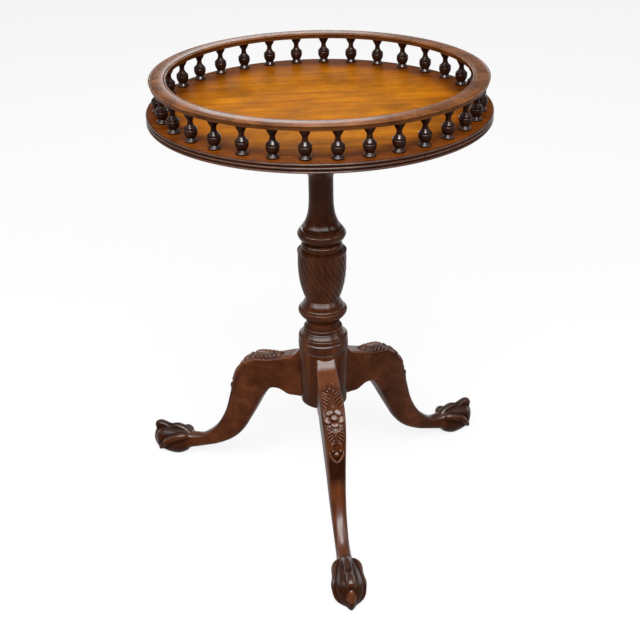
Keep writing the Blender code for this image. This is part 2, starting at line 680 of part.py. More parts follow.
def make_hub(materials, axis):
    mesh = turned_mesh("pillar_hub", hub_profile(), PILLAR_SIDES)
    hub = place("pillar_hub", mesh, materials["dark_mahogany"], axis)
    boolean(hub, spigot_socket("hub_socket", HUB_TOP_Z, axis), "DIFFERENCE")
    half = LEG_ROOT_WIDTH / 2 + GLUE_GAP
    seats = bmesh.new()
    housings = bmesh.new()
    for angle in LEG_ANGLES_DEG.values():
        spin = Matrix.Rotation(math.radians(angle), 2)
        seat = [(-half, -HUB_RADIUS * 2), (half, -HUB_RADIUS * 2), (half, -HUB_FLAT), (-half, -HUB_FLAT)]
        low_z = HUB_BOTTOM_Z - CUT_OVERRUN
        prism(seats, [spin @ Vector(point) for point in seat], low_z, LEG_TOP_Z + GLUE_GAP)
        outline = [spin @ Vector(point) for point in tongue_outline(GLUE_GAP)]
        prism(housings, outline, low_z, LEG_TOP_Z - TONGUE_TOP_DROP + GLUE_GAP)
    boolean(hub, helper("leg_seats", mesh_of(seats, "leg_seats"), axis), "DIFFERENCE")
    boolean(hub, helper("leg_housings", mesh_of(housings, "leg_housings"), axis), "DIFFERENCE")
    return hub


def make_cap(materials, axis, hub):
    top_z = HUB_BOTTOM_Z - GLUE_GAP
    round_z = top_z - CAP_STRAIGHT
    bottom_z = HUB_BOTTOM_Z - CAP_HEIGHT
    profile = []
    for k in range(ARC_STEPS + 1):
        angle = math.pi / 2 * k / ARC_STEPS
        radius = CAP_BOTTOM_RADIUS + (HUB_RADIUS - CAP_BOTTOM_RADIUS) * math.sin(angle)
        profile.append((radius, round_z - (round_z - bottom_z) * math.cos(angle)))
    profile.append((HUB_RADIUS, top_z))
    cap = place("hub_cap", turned_mesh("hub_cap", profile, PILLAR_SIDES), materials["dark_mahogany"], axis)
    centre = [(0.0, 0.0)]
    length = CAP_HEIGHT + CAP_SCREW_BITE
    holes = screw_holes("cap_screw_hole", bottom_z, length, centre, axis)
    boolean(cap, holes, "DIFFERENCE")
    boolean(hub, holes, "DIFFERENCE")
    make_screws("cap_screw", bottom_z, length, centre, materials["steel"], axis)


def leg_stations():
    """(top run, top z, under run, under z, width, squareness) along the leg, run from the pillar's axis."""
    knee = max(i for i, station in enumerate(LEG_STATIONS) if station[4] == 1.0)
    root_square = LEG_STATIONS[0][5]
    stations = [(LEG_START, LEG_TOP_Z, LEG_START, HUB_BOTTOM_Z, LEG_ROOT_WIDTH, root_square)]
    for i, (top_run, top_rise, under_run, under_rise, share, square) in enumerate(LEG_STATIONS):
        if share is None:
            width = LEG_ROOT_WIDTH + (LEG_KNEE_WIDTH - LEG_ROOT_WIDTH) * (i + 1) / (knee + 1)
        else:
            width = LEG_ANKLE_WIDTH + (LEG_KNEE_WIDTH - LEG_ANKLE_WIDTH) * share
        top = (LEG_START + top_run * LEG_RUN, top_rise * LEG_TOP_Z)
        under = (LEG_START + under_run * LEG_RUN, under_rise * HUB_BOTTOM_Z)
        stations.append((*top, *under, width, square))
    return stations


def ring_angles():
    """Even directions round a section, from the top."""
    return [math.pi / 2 - 2.0 * math.pi * k / LEG_SIDES for k in range(LEG_SIDES)]


def leg_ring(station):
    """Rounded rectangle between the leg's top line and its under line."""
    top_run, top_z, under_run, under_z, width, square = station
    middle = Vector((0.0, -(top_run + under_run) / 2, (top_z + under_z) / 2))
    rise = Vector((0.0, -(top_run - under_run) / 2, (top_z - under_z) / 2))
    side = Vector((width / 2, 0.0, 0.0))
    ring = []
    for angle in ring_angles():
        across, up = (
            math.copysign(abs(part) ** (2.0 / square), part) for part in (math.cos(angle), math.sin(angle))
        )
        ring.append(middle + side * across + rise * up)
    return ring


def foot_directions(front_span, front_rise, side_angle, side_rise):
    """(direction in degrees, share of the claws' rise) down one side of a foot section, crest to sole."""
    points = [(90.0, front_rise)]
    points.append((90.0 - front_span * CLAW_SHOULDER, front_rise * CLAW_SHOULDER_RISE))
    points.append((90.0 - front_span, 0.0))
    shoulder = SIDE_CLAW_SPAN_DEG * CLAW_SHOULDER
    points.append((side_angle + SIDE_CLAW_SPAN_DEG, 0.0))
    points.append((side_angle + shoulder, side_rise * CLAW_SHOULDER_RISE))
    points.append((side_angle, side_rise))
    points.append((side_angle - shoulder, side_rise * CLAW_SHOULDER_RISE))
    points.append((side_angle - SIDE_CLAW_SPAN_DEG, 0.0))
    last = points[-1][0]
    rest = LEG_SIDES // 2 + 1 - len(points)
    points += [(last + (-90.0 - last) * k / rest, 0.0) for k in range(1, rest + 1)]
    return points


def foot_ring(station):
    """Outline of ball and claws in one upright plane across the foot, flat where it meets the floor."""
    along, top, under, width, *claws = station
    half_width = width * BALL_WIDTH / 2
    half_height = (top - under) / 2 * BALL_HEIGHT / 2
    middle_z = BALL_CENTRE_Z + (top + under) / 2 * BALL_HEIGHT / 2
    run = -(FOOT_CIRCLE_RADIUS + along * BALL_LENGTH / 2)
    right = []
    for direction, rise in foot_directions(*claws):
        angle = math.radians(direction)
        across, up = half_width * math.cos(angle), half_height * math.sin(angle)
        outward = Vector((half_height * math.cos(angle), half_width * math.sin(angle))).normalized()
        outward *= rise * CLAW_RISE
        right.append(Vector((across + outward.x, run, max(middle_z + up + outward.y, 0.0))))
    left = [Vector((-point.x, point.y, point.z)) for point in reversed(right[1:-1])]
    return right + left


def make_leg_mesh(axis):
    """One leg from shoulder to talon, joined with its tongue into a single body."""
    rings = [leg_ring(station) for station in smooth_line(leg_stations(), LEG_STEPS)]
    rings += [foot_ring(station) for station in FOOT_STATIONS]
    shape = bmesh.new()
    skin_rings(shape, rings)
    draft = helper("leg_draft", mesh_of(shape, "leg_draft"), axis)
    tongue = bmesh.new()
    prism(tongue, tongue_outline(0.0), HUB_BOTTOM_Z + TONGUE_FOOT_RISE, LEG_TOP_Z - TONGUE_TOP_DROP)
    boolean(draft, helper("leg_tongue", mesh_of(tongue, "leg_tongue"), axis), "UNION")
    bpy.context.view_layer.update()
    graph = bpy.context.evaluated_depsgraph_get()
    joined = bmesh.new()
    joined.from_object(draft, graph)
    return mesh_of(joined, "leg")


def make_legs(materials, axis):
    mesh = make_leg_mesh(axis)
    for name, angle in LEG_ANGLES_DEG.items():
        place(name, mesh, materials["leg_mahogany"], axis, angle)


def main():
    clear_scene()
    materials = make_materials()
    axis = bpy.data.objects.new("pillar_axis", None)
    axis.location.y = AXIS_Y
    bpy.context.collection.objects.link(axis)
    board = make_board(materials, axis)
    make_block(materials, axis, board)
    make_spindles(materials, axis)
    make_rail(materials, axis)
    make_shaft(materials, axis)
    make_urn(materials, axis)
    hub = make_hub(materials, axis)
    make_cap(materials, axis, hub)
    make_legs(materials, axis)


main()
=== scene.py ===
"""Dressed pedestal wine table: fine turned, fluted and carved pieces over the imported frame.

Metres, +Z up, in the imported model's own frame. Each piece is made about the pillar's axis and placed on it.
"""

import math

import bpy
import numpy as np
from mathutils import Matrix, Vector


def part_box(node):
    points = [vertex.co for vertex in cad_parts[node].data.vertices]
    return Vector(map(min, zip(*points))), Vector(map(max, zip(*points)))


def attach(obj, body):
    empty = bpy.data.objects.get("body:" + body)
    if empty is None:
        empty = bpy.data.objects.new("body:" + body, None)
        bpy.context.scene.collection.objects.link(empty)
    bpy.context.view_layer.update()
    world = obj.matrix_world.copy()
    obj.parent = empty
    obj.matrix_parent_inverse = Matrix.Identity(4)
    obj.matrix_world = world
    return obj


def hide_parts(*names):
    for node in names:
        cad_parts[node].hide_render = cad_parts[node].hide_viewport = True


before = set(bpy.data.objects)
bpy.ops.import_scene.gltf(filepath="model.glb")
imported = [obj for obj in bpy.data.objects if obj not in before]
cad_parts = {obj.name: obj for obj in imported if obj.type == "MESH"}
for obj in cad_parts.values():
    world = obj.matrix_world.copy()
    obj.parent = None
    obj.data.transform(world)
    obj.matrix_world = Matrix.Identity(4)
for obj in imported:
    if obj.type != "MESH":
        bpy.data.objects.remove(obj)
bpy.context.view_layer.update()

MILLIMETRES = 1000.0  # in a metre

# Levels and places of the frame
BOARD_LOW, BOARD_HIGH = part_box("top_board")
RAIL_LOW, RAIL_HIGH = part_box("rail_arc_1")
URN_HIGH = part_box("pillar_urn")[1]
HUB_LOW, HUB_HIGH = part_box("pillar_hub")
CAP_LOW, CAP_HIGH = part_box("hub_cap")
BLOCK_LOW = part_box("top_block")[0]
AXIS = (BOARD_LOW + BOARD_HIGH) / 2
AXIS.z = 0.0
BOARD_RADIUS = min(BOARD_HIGH.x - BOARD_LOW.x, BOARD_HIGH.y - BOARD_LOW.y) / 2
SPINDLE_NAMES = sorted(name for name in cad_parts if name.startswith("spindle_"))
RAIL_NAMES = sorted(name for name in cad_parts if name.startswith("rail_arc_"))
SCREW_NAMES = sorted(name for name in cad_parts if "screw" in name)
BEECH_NAMES = ("top_block", "tenon_wedge")
LEG_ANGLES_DEG = {"leg_front": 0.0, "leg_right": 120.0, "leg_left": 240.0}

# Top board's reeded edge, and the least upward or downward share of the faces that count as flat
EDGE_REEDS = 3
EDGE_GROOVE = 0.0019
REED_DEPTH = 0.0024
FLAT_FACE = 0.99

# Painted shade of the rail on the board's top, darker towards its edge: radius and the share of each colour
# that is left
BOARD_RIM_SHADE = (
    (0.130, (1.00, 1.00, 1.00)),
    (0.178, (0.94, 0.90, 0.85)),
    (0.194, (0.86, 0.76, 0.75)),
    (0.218, (0.36, 0.27, 0.70)),
    (0.250, (0.36, 0.27, 0.80)),
)

# Gallery rail: a crowned top between two beads, on a narrower fascia; its arcs are scarfed together
RAIL_SETBACK = 0.0067
RAIL_WIDTH = 0.025
RAIL_FASCIA_INSET = 0.0018
RAIL_FASCIA_HEIGHT = 0.0048
RAIL_BEAD_WIDTH = 0.0017
RAIL_BEAD_HEIGHT = 0.0014
RAIL_BEAD_DROP = 0.0021
RAIL_BEAD_ARC_DEG = (-75.0, 112.0)
RAIL_GROOVE = 0.0015
RAIL_GROOVE_PLACE = 0.0091
RAIL_CROWN_WIDTH = 0.0087
RAIL_CROWN_HEIGHT = 0.0006
RAIL_CROWN_ARC_DEG = (12.0, 84.0)
# Painted shade on the rail's fascia under the beads and in its groove
RAIL_FASCIA_SHADE = 0.65
RAIL_GROOVE_SHADE = 0.90
RAIL_SCARF_DEG = 45.0
FIRST_SCARF_DEG = 180.0
GLUE_LINE = 0.0003

# Spindle: radius and height over the board, for the foot ring, the bulb, and the cone, neck and flared head
SPINDLE_FOOT = ((0.0076, 0.0003), (0.0085, 0.0010), (0.0086, 0.0020), (0.0075, 0.0037), (0.0062, 0.0054))
SPINDLE_BULB = ((0.0057, 0.0060), (0.0070, 0.0078), (0.0083, 0.0104), (0.0091, 0.0136), (0.0091, 0.0166))
SPINDLE_RING = ((0.0081, 0.0175), (0.0089, 0.0179), (0.0092, 0.0185), (0.0090, 0.0192), (0.0080, 0.0195))
SPINDLE_HEAD = (
    (0.0082, 0.0199),
    (0.0064, 0.0218),
    (0.0047, 0.0238),
    (0.0039, 0.0260),
    (0.0037, 0.0280),
    (0.0038, 0.0297),
    (0.0044, 0.0314),
    (0.0055, 0.0331),
    (0.0065, 0.0349),
    (0.0074, 0.0368),
    (0.0083, 0.0390),
)

# Pillar shaft
SHAFT_RADIUS = 0.0187
BELL_RADIUS = 0.0295
BELL_HEIGHT = 0.0569
BELL_STEEPNESS = 3.4
BELL_LIP = 0.0012
CAPITAL_FOOT_Z = 0.5490
CAPITAL_COVE_HEIGHT = 0.0155
CAPITAL_COVE_RADIUS = 0.0300
CAPITAL_COLLAR_RADIUS = 0.0320
CAPITAL_COLLAR_HEIGHT = 0.0100
CAPITAL_DRUM_RADIUS = 0.0280

# Pillar urn: (radius, height) from the waist up over the lower ring, and of the upper ring
URN_RADIUS = 0.0375
URN_FOOT_RADIUS = 0.0236
URN_FULLNESS = 2.35
URN_BODY_Z = 0.3466
URN_BODY_HEIGHT = 0.0680
URN_EDGE = 0.0005
WAIST = (
    (0.0264, 0.3064),
    (0.0264, 0.3096),
    (0.0266, 0.3100),
    (0.0264, 0.3106),
    (0.0250, 0.3108),
    (0.0245, 0.3120),
)
LOWER_RING = (
    (0.0245, 0.3138),
    (0.0254, 0.3152),
    (0.0268, 0.3172),
    (0.0290, 0.3197),
    (0.0325, 0.3230),
    (0.0354, 0.3264),
    (0.0375, 0.3298),
    (0.0381, 0.3322),
)
LOWER_RING_TOP = (
    (0.0382, 0.3334),
    (0.0381, 0.3344),
    (0.0376, 0.3357),
    (0.0368, 0.3366),
    (0.0351, 0.3377),
    (0.0337, 0.3388),
    (0.0327, 0.3404),
    (0.0319, 0.3425),
    (0.0310, 0.3447),
    (0.0299, 0.3468),
    (0.0287, 0.3488),
    (0.0275, 0.3508),
    (0.0267, 0.3522),
)
SHOULDER_RADII = (0.0305, 0.0320, 0.0262)
SHOULDER_LEVELS = (0.4352, 0.4480)
UPPER_RING = (
    (0.0262, 0.4490),
    (0.0290, 0.4500),
    (0.0326, 0.4521),
    (0.0350, 0.4554),
    (0.0368, 0.4590),
    (0.0373, 0.4620),
    (0.0368, 0.4642),
    (0.0356, 0.4660),
    (0.0342, 0.4676),
)
URN_FILLET_RADIUS = 0.0322
URN_FILLET_DROP = 0.0040
URN_FILLET_HEIGHT = 0.0016
URN_LIP_RADIUS = 0.0288

# Spiral flutes; from each end they deepen at the given rate, in depths per height
FLUTES = 24
FLUTE_FOOT_Z = 0.3526
FLUTE_TOP_Z = 0.4322
FLUTE_DEPTH = 0.0012
FLUTE_FOOT_RATE = 12.0
FLUTE_TOP_RATE = 16.0
# Painted shade in the flutes' grooves
FLUTE_SHADE = 0.45
FLUTE_TWIST_DEG = 83.0
FLUTE_TWIST_GROWTH = 1.35
FLUTE_START_DEG = 5.2

# Pillar hub: drum, band, and the moulded dome over it. A bead has its lower, middle and upper radius and its
# two levels, the cove its (radius, height), and the cap its (radius, height over its foot)
HUB_RADIUS = 0.0385
HUB_TOP_RADIUS = 0.0380
HUB_FOOT_RADIUS = 0.0366
HUB_BAND_Z = 0.267
HUB_BAND_RADIUS = 0.0393
HUB_BAND_HEIGHT = 0.0158
HUB_QUIRK = 0.0014
HUB_LOW_BEAD = (0.0377, 0.0388, 0.0360, 0.2836, 0.2916)
HUB_COVE = (
    (0.0356, 0.2920),
    (0.0347, 0.2928),
    (0.0339, 0.2940),
    (0.0334, 0.2952),
    (0.0329, 0.2955),
    (0.0323, 0.2966),
    (0.0315, 0.2980),
    (0.0308, 0.2994),
    (0.0297, 0.2999),
)
HUB_HIGH_BEAD = (0.0294, 0.0304, 0.0268, 0.3002, 0.3058)
CAP_PROFILE = ((0.0185, 0.0), (0.0200, 0.0008), (0.0345, 0.0071), (0.0352, 0.0080))

# Cabriole leg and its claw-and-ball foot
LEG_TOP_DROP = 0.005
LEG_ROOT_WIDTH = 0.0325
LEG_KNEE_WIDTH = 0.0375
LEG_ANKLE_WIDTH = 0.0216
LEG_LET_IN = 0.0005
LEG_ROOT_SUNK = 0.004
FOOT_CIRCLE_RADIUS = 0.287
BALL_LENGTH = 0.072
BALL_WIDTH = 0.043
BALL_HEIGHT = 0.053
BALL_SQUARENESS = 2.0
SOLE_CUT = 0.0025
CLAW_RISE = 0.0064
SIDE_CLAW_SPAN_DEG = 19.0
CLAW_ROUNDNESS = 0.95

# Leg outline, as in the frame's solids: top line (shares of the run and of the leg top's height), under line
# (shares of the run and of the hub's underside height), share of the knee's width, squareness of the section
LEG_STATIONS = (
    (0.046, 0.946, 0.042, 1.000, None, 9.0),
    (0.104, 0.922, 0.092, 1.000, None, 9.0),
    (0.216, 0.884, 0.158, 1.040, None, 8.0),
    (0.356, 0.856, 0.224, 1.016, 1.00, 6.5),
    (0.455, 0.766, 0.290, 0.888, 0.86, 5.0),
    (0.503, 0.658, 0.346, 0.730, 0.64, 4.0),
    (0.535, 0.553, 0.398, 0.588, 0.45, 3.3),
    (0.581, 0.412, 0.456, 0.442, 0.26, 2.9),
    (0.656, 0.286, 0.534, 0.320, 0.10, 2.6),
    (0.764, 0.194, 0.648, 0.216, 0.00, 2.4),
    (0.840, 0.174, 0.775, 0.140, 0.05, 2.3),
)

# Foot sections, in half sizes of the ball: place along the foot, top, underside, half width; then half the
# middle claw's span in degrees and its share of the rise, and the side claws' angle and share of the rise
FOOT_STATIONS = (
    (-0.90, 0.83, -0.36, 0.66, 20.0, 0.12, 44.0, 0.19),
    (-0.72, 0.93, -0.62, 0.85, 20.0, 0.47, 41.0, 0.66),
    (-0.50, 0.99, -0.82, 0.95, 20.0, 0.81, 36.0, 0.94),
    (-0.25, 1.01, -0.96, 1.00, 19.0, 1.00, 28.0, 0.78),
    (0.00, 1.00, -1.00, 1.00, 18.0, 0.78, 17.0, 0.72),
    (0.25, 0.96, -0.98, 0.99, 18.0, 0.66, 1.0, 0.94),
    (0.48, 0.90, -0.92, 0.95, 20.0, 1.15, -23.0, 0.86),
    (0.68, 0.80, -0.87, 0.82, 25.0, 1.75, -44.0, 0.42),
    (0.82, 0.62, -0.88, 0.62, 30.0, 1.95, -53.0, 0.0),
    (0.90, 0.52, -0.88, 0.46, 33.0, 1.30, -55.0, 0.0),
    (0.96, 0.46, -0.88, 0.35, 33.0, 0.45, -55.0, 0.0),
    (1.03, 0.44, -0.80, 0.26, 33.0, 0.0, -55.0, 0.0),
    (1.10, 0.24, -0.62, 0.19, 33.0, 0.0, -55.0, 0.0),
    (1.16, -0.08, -0.38, 0.07, 33.0, 0.0, -55.0, 0.0),
)

# Knee carving, in millimetres: along the leg's top line from the hub, and across it. The raised ground has
# the places where it starts, is full, fades and ends
CARVED_GROUND = (57.0, 66.0, 176.0, 188.0)
CARVED_GROUND_RISE = 0.8
ROSETTE_CENTRE = 116.5
ROSETTE_PETALS = 5
ROSETTE_PETAL_PLACE = 10.4
ROSETTE_PETAL_LENGTH = 5.4
ROSETTE_PETAL_WIDTH = 6.8
ROSETTE_PETAL_HEIGHT = 2.9
ROSETTE_DISH_DEPTH = 1.5
ROSETTE_DISH_SHIFT = 4.0
ROSETTE_DISH_LENGTH = 4.0
ROSETTE_DISH_WIDTH = 5.0

# Rounded bumps: place along and across, half length, half width, height
CARVED_BUMPS = (
    (116.5, 0.0, 6.0, 6.0, 3.6),
    (172.0, 0.0, 2.0, 3.2, 1.8),
    (84.0, 0.0, 15.0, 4.4, 1.3),
    (55.0, 0.0, 5.2, 3.2, 2.2),
    (60.5, 4.6, 2.6, 2.2, 1.8),
)

# Ribs, on both sides alike: three points of a curve, width and height. The width follows part of a sine arch
RIB_ARCH_START = 0.20
RIB_ARCH_SPAN = 0.64
CARVED_RIBS = (
    ((56.0, 7.2), (46.0, 8.0), (46.5, 0.0), 2.8, 1.8),
    ((63.0, 13.0), (65.0, 10.0), (70.0, 6.0), 3.0, 1.6),
    ((69.5, 13.8), (73.0, 10.0), (81.5, 3.6), 3.8, 2.2),
    ((76.5, 14.4), (80.0, 11.0), (88.5, 4.6), 3.8, 2.2),
    ((84.0, 15.0), (87.5, 12.0), (95.5, 6.4), 3.6, 2.1),
    ((91.5, 15.6), (95.0, 13.4), (101.0, 9.4), 3.4, 1.9),
    ((133.5, 11.0), (136.0, 6.5), (140.0, 0.0), 3.6, 1.6),
    ((127.5, 12.5), (131.0, 9.5), (134.0, 5.0), 2.6, 1.5),
    ((131.0, 4.2), (134.0, 3.6), (137.0, 2.4), 2.4, 1.4),
    ((137.5, 5.5), (139.0, 8.5), (141.0, 12.4), 2.8, 1.8),
    ((141.0, 4.6), (143.0, 8.0), (146.5, 12.0), 2.8, 1.8),
    ((145.0, 3.4), (147.5, 6.8), (151.5, 10.4), 2.8, 1.7),
    ((149.5, 2.2), (152.0, 4.6), (155.5, 8.0), 2.6, 1.5),
    ((142.0, 0.0), (147.0, 0.0), (153.0, 0.0), 2.8, 1.2),
    ((154.5, 1.2), (154.5, 8.4), (164.0, 7.4), 3.0, 1.9),
    ((164.0, 7.4), (168.5, 6.0), (165.5, 3.2), 2.6, 1.6),
    ((168.0, 10.0), (180.0, 8.6), (185.5, 0.0), 3.0, 1.8),
)

# Joints of the claws: place along the foot in half lengths of the ball, depth as a share, reach
MIDDLE_CLAW_JOINTS = ((0.17, 0.34, 0.17), (0.93, 0.55, 0.10))
SIDE_CLAW_JOINTS = ((-0.14, 0.22, 0.17), (0.34, 0.24, 0.17))

# Painted shade and sheen on the legs, from 1 (darkest) to -1 (palest): painted shade in the hollows and on
# the shin below the carving, painted highlight on the crests of the carving and the claws, on the leg's root
# and on the talons' tops, and the whole foot darker. Hollows are points under the mean of the grid points
# within the reach along and round the leg. A zone has its share, below 0 for painted sheen and above 0 for
# painted shade, and where it starts, is full, fades and ends along the leg's top in millimetres. The foot's
# and the talon's zones are in half ball lengths
HOLLOW_REACH = (3, 5)
HOLLOW_SHADING = 1.3
SHADE_AND_SHEEN_ZONES = ((-0.80, 8.0, 22.0, 46.0, 60.0), (0.95, 160.0, 184.0, 206.0, 226.0))
FOOT_ZONE = (-1.1, -0.6)
FOOT_DARKENING = 0.75
FOOT_HOLLOW_LOSS = 0.8
TALON_ZONE = (0.92, 1.0)
TALON_SHEEN = 1.3

# Facets: points round a piece, steps along it, and the leg's rings, finer in the spans with the carving
TURNED_SIDES = 128
BOARD_SIDES = 288
SPINDLE_SIDES = 32
RAIL_STEPS = 84
ARC_STEPS = 10
POINTS_PER_FLUTE = 12
FLUTE_RINGS = 72
LEG_TOP_POINTS = 84
LEG_SIDE_POINTS = 26
LEG_UNDER_POINTS = 26
CARVED_SPANS = range(2, 7)
LEAST_RINGS = 4
COARSE_RING = 0.0018
FINE_RING = 0.0007
RIB_POINTS = 25
SMOOTH_ANGLE_DEG = 50.0

# Woods: colours of the dark, middle and light streaks, streaks per metre along x, y and z, roughness range,
# polish of upright and of upward surfaces, strength of the pores' relief, colour of the painted shade in
# hollows, grooves and on the shin and of the darkening over the feet, and the attribute that holds the places
# for the grain
WOODS = {
    "amber": dict(
        name="amber_wood",
        dark=(0.36, 0.108, 0.003),
        middle=(0.51, 0.174, 0.005),
        light=(0.62, 0.236, 0.009),
        grain=(6.0, 75.0, 75.0),
        roughness=(0.42, 0.55),
        specular=(0.02, 0.02),
    ),
    "edge": dict(
        name="edge_wood",
        dark=(0.050, 0.018, 0.009),
        middle=(0.090, 0.033, 0.016),
        light=(0.130, 0.052, 0.025),
        grain=(28.0, 28.0, 90.0),
        roughness=(0.20, 0.28),
        specular=(0.30, 1.00),
        bump=0.02,
        darkening_colour=(0.006, 0.002, 0.001),
    ),
    "rail": dict(
        name="rail_wood",
        dark=(0.12, 0.037, 0.009),
        middle=(0.21, 0.072, 0.018),
        light=(0.31, 0.115, 0.033),
        grain=(28.0, 28.0, 90.0),
        roughness=(0.22, 0.32),
        specular=(0.05, 0.42),
        bump=0.03,
        darkening_colour=(0.020, 0.007, 0.003),
    ),
    "spindle": dict(
        name="spindle_wood",
        dark=(0.014, 0.005, 0.003),
        middle=(0.028, 0.010, 0.006),
        light=(0.050, 0.018, 0.010),
        grain=(160.0, 160.0, 30.0),
        roughness=(0.18, 0.26),
        specular=(0.04, 1.00),
        bump=0.02,
    ),
    "pillar": dict(
        name="pillar_wood",
        dark=(0.038, 0.0098, 0.0028),
        middle=(0.065, 0.0185, 0.0062),
        light=(0.102, 0.033, 0.012),
        grain=(120.0, 120.0, 9.0),
        roughness=(0.18, 0.26),
        specular=(0.07, 0.75),
        bump=0.03,
        darkening_colour=(0.010, 0.003, 0.001),
    ),
    "leg": dict(
        name="leg_wood",
        dark=(0.050, 0.0125, 0.0035),
        middle=(0.094, 0.026, 0.0085),
        light=(0.148, 0.047, 0.017),
        grain=(70.0, 22.0, 34.0),
        roughness=(0.27, 0.36),
        specular=(0.04, 1.00),
        bump=0.04,
        darkening_colour=(0.012, 0.004, 0.002),
        grain_place="grain_place",
    ),
    "beech": dict(
        name="bare_beech",
        dark=(0.26, 0.14, 0.06),
        middle=(0.38, 0.23, 0.11),
        light=(0.48, 0.31, 0.17),
        grain=(9.0, 80.0, 80.0),
        roughness=(0.55, 0.70),
        specular=(0.3, 0.3),
    ),
}

# Figure that all woods share: noise settings are detail, roughness and distortion, ranges are values of the
# noise, of the painted shade and sheen attribute or of a surface's upward share, and shades multiply a colour
LOT_SEEDS = 37.0
STREAK_NOISE = (6.0, 0.62, 0.5)
STREAK_STOPS = (0.30, 0.50, 0.70)
CLOUD_SCALE = (22.0, 22.0, 22.0)
CLOUD_NOISE = (4.0, 0.55, 0.0)
CLOUD_RANGE = (0.30, 0.70)
CLOUD_SHADES = ((0.62, 0.58, 0.56), (1.28, 1.24, 1.2))
PORE_FINENESS = 12.0
PORE_NOISE = (3.0, 0.7, 0.0)
PORE_DEPTH = 0.0004
FLECK_RANGE = (0.56, 0.70)
FLECK_STRENGTH = 0.6
FLECK_SHADE = 0.35
# Painted sheen pales the wood below 0 on the attribute; painted shade darkens it and dulls its polish above 0
PAINTED_SHEEN_STRENGTH = 0.6
PAINTED_SHEEN_SHADE = 1.5
DARKENING_STRENGTH = 0.85
DARKENING_DULLS = (0.6, 1.0)
DARKENED_POLISH = 0.15
UPWARD_RANGE = (0.42, 0.60)

# Screws
STEEL_MARKS = (900.0, 900.0, 300.0)
STEEL_NOISE = (3.0, 0.55, 0.0)
STEEL_SHADES = ((0.35, (0.30, 0.29, 0.27)), (0.65, (0.55, 0.54, 0.51)))
STEEL_RANGE = (0.3, 0.7)
STEEL_ROUGHNESS = (0.30, 0.55)

# Camera, fitted to the photograph: place about the pillar's axis, and angles
IMAGE_SIZE = 640
FOCAL_PIXELS = 1228.334
SENSOR_WIDTH = 36.0
CAMERA_DISTANCE = 1.71687
CAMERA_HEIGHT = 1.19340
CAMERA_TURN_DEG = -6.27
CAMERA_PITCH = 0.47417
CAMERA_YAW = -0.0027
CAMERA_ROLL = -0.0165

# Floor: its own colour, and the colour and glow of what the camera sees of it
FLOOR_HALF_SIZE = 8.0
FLOOR_DROP = 0.0005
FLOOR_COLOUR = (0.45, 0.45, 0.45, 1.0)
FLOOR_SHADOW_COLOUR = (0.20, 0.20, 0.20, 1.0)
FLOOR_GLOW = 0.85

# Light: dim walls and ceiling, a pale backdrop that fades out over these heights of a ray's direction, and
# softboxes with their place, width, height and radiance
WALL_LIGHT = 0.06
CEILING_LIGHT = 0.34
CEILING_START = 0.35
BACKDROP_LIGHT = 0.93
BACKDROP_FADE = (0.13, 0.20)
LAMP_AIM_HEIGHT = 0.4
SOFTBOXES = {
    "key": ((-0.40, -1.85, 2.10), 4.4, 0.8, 7.0),
    "high": ((-0.10, -1.10, 2.75), 1.2, 0.5, 10.0),
    "left": ((-2.40, -0.70, 1.80), 1.6, 0.6, 3.2),
    "right": ((2.30, -0.90, 1.75), 1.4, 0.6, 2.6),
    "back": ((0.15, 2.70, 1.65), 0.7, 0.5, 4.0),
}


def arc(centre, radii, start_deg, end_deg, steps=ARC_STEPS):
    """Points on an elliptical arc in a (radius, height) plane."""
    points = []
    for k in range(steps + 1):
        angle = math.radians(start_deg + (end_deg - start_deg) * k / steps)
        points.append((centre[0] + radii[0] * math.cos(angle), centre[1] + radii[1] * math.sin(angle)))
    return points


def bead(low_radius, middle_radius, high_radius, low_z, high_z, steps=2 * ARC_STEPS):
    """Half-round moulding from one radius out to the middle one and back to the other."""
    points = []
    for k in range(steps + 1):
        angle = math.pi * (k / steps - 0.5)
        edge = low_radius if angle < 0.0 else high_radius
        radius = edge + (middle_radius - edge) * math.cos(angle)
        points.append((radius, (low_z + high_z) / 2 + (high_z - low_z) / 2 * math.sin(angle)))
    return points


def smooth_line(points, steps):
    """Catmull-Rom curve through the points, with as many steps as given for each span."""
    points = [np.array(point, float) for point in points]
    last = len(points) - 1
    line = []
    for i, count in enumerate(steps):
        a, b, c, d = points[max(i - 1, 0)], points[i], points[i + 1], points[min(i + 2, last)]
        for k in range(count):
            t = k / count
            line.append(b + t * (c - a + t * (2 * a - 5 * b + 4 * c - d + t * (3 * b - a - 3 * c + d))) / 2)
    line.append(points[-1])
    return np.array(line)


def smooth_points(curve, steps=4):
    """Points of a smooth curve with the same steps in every span."""
    return [tuple(point) for point in smooth_line(curve, [steps] * (len(curve) - 1))]


def mesh_of(name, grid, shade_and_sheen=None):
    """Mesh over a grid of points: rings joined to tubes, with flat ends."""
    rings, count = grid.shape[:2]
    faces = []
    for ring in range(rings - 1):
        low = ring * count
        high = low + count
        faces += [(low + k, low + (k + 1) % count, high + (k + 1) % count, high + k) for k in range(count)]
    faces.append(tuple(range(count))[::-1])
    faces.append(tuple((rings - 1) * count + k for k in range(count)))
    mesh = bpy.data.meshes.new(name)
    mesh.from_pydata(grid.reshape(-1, 3).tolist(), [], faces)
    mesh.shade_smooth()
    mesh.set_sharp_from_angle(angle=math.radians(SMOOTH_ANGLE_DEG))
    if shade_and_sheen is not None:
        layer = mesh.attributes.new("shade_and_sheen", "FLOAT", "POINT")
        layer.data.foreach_set("value", shade_and_sheen.astype(np.float32).ravel())
    return mesh


def round_grid(radius, height, angles):
    """Grid of points from radii, heights and angles about the axis."""
    return np.stack([radius * np.cos(angles), radius * np.sin(angles), height + 0.0 * angles], axis=2)


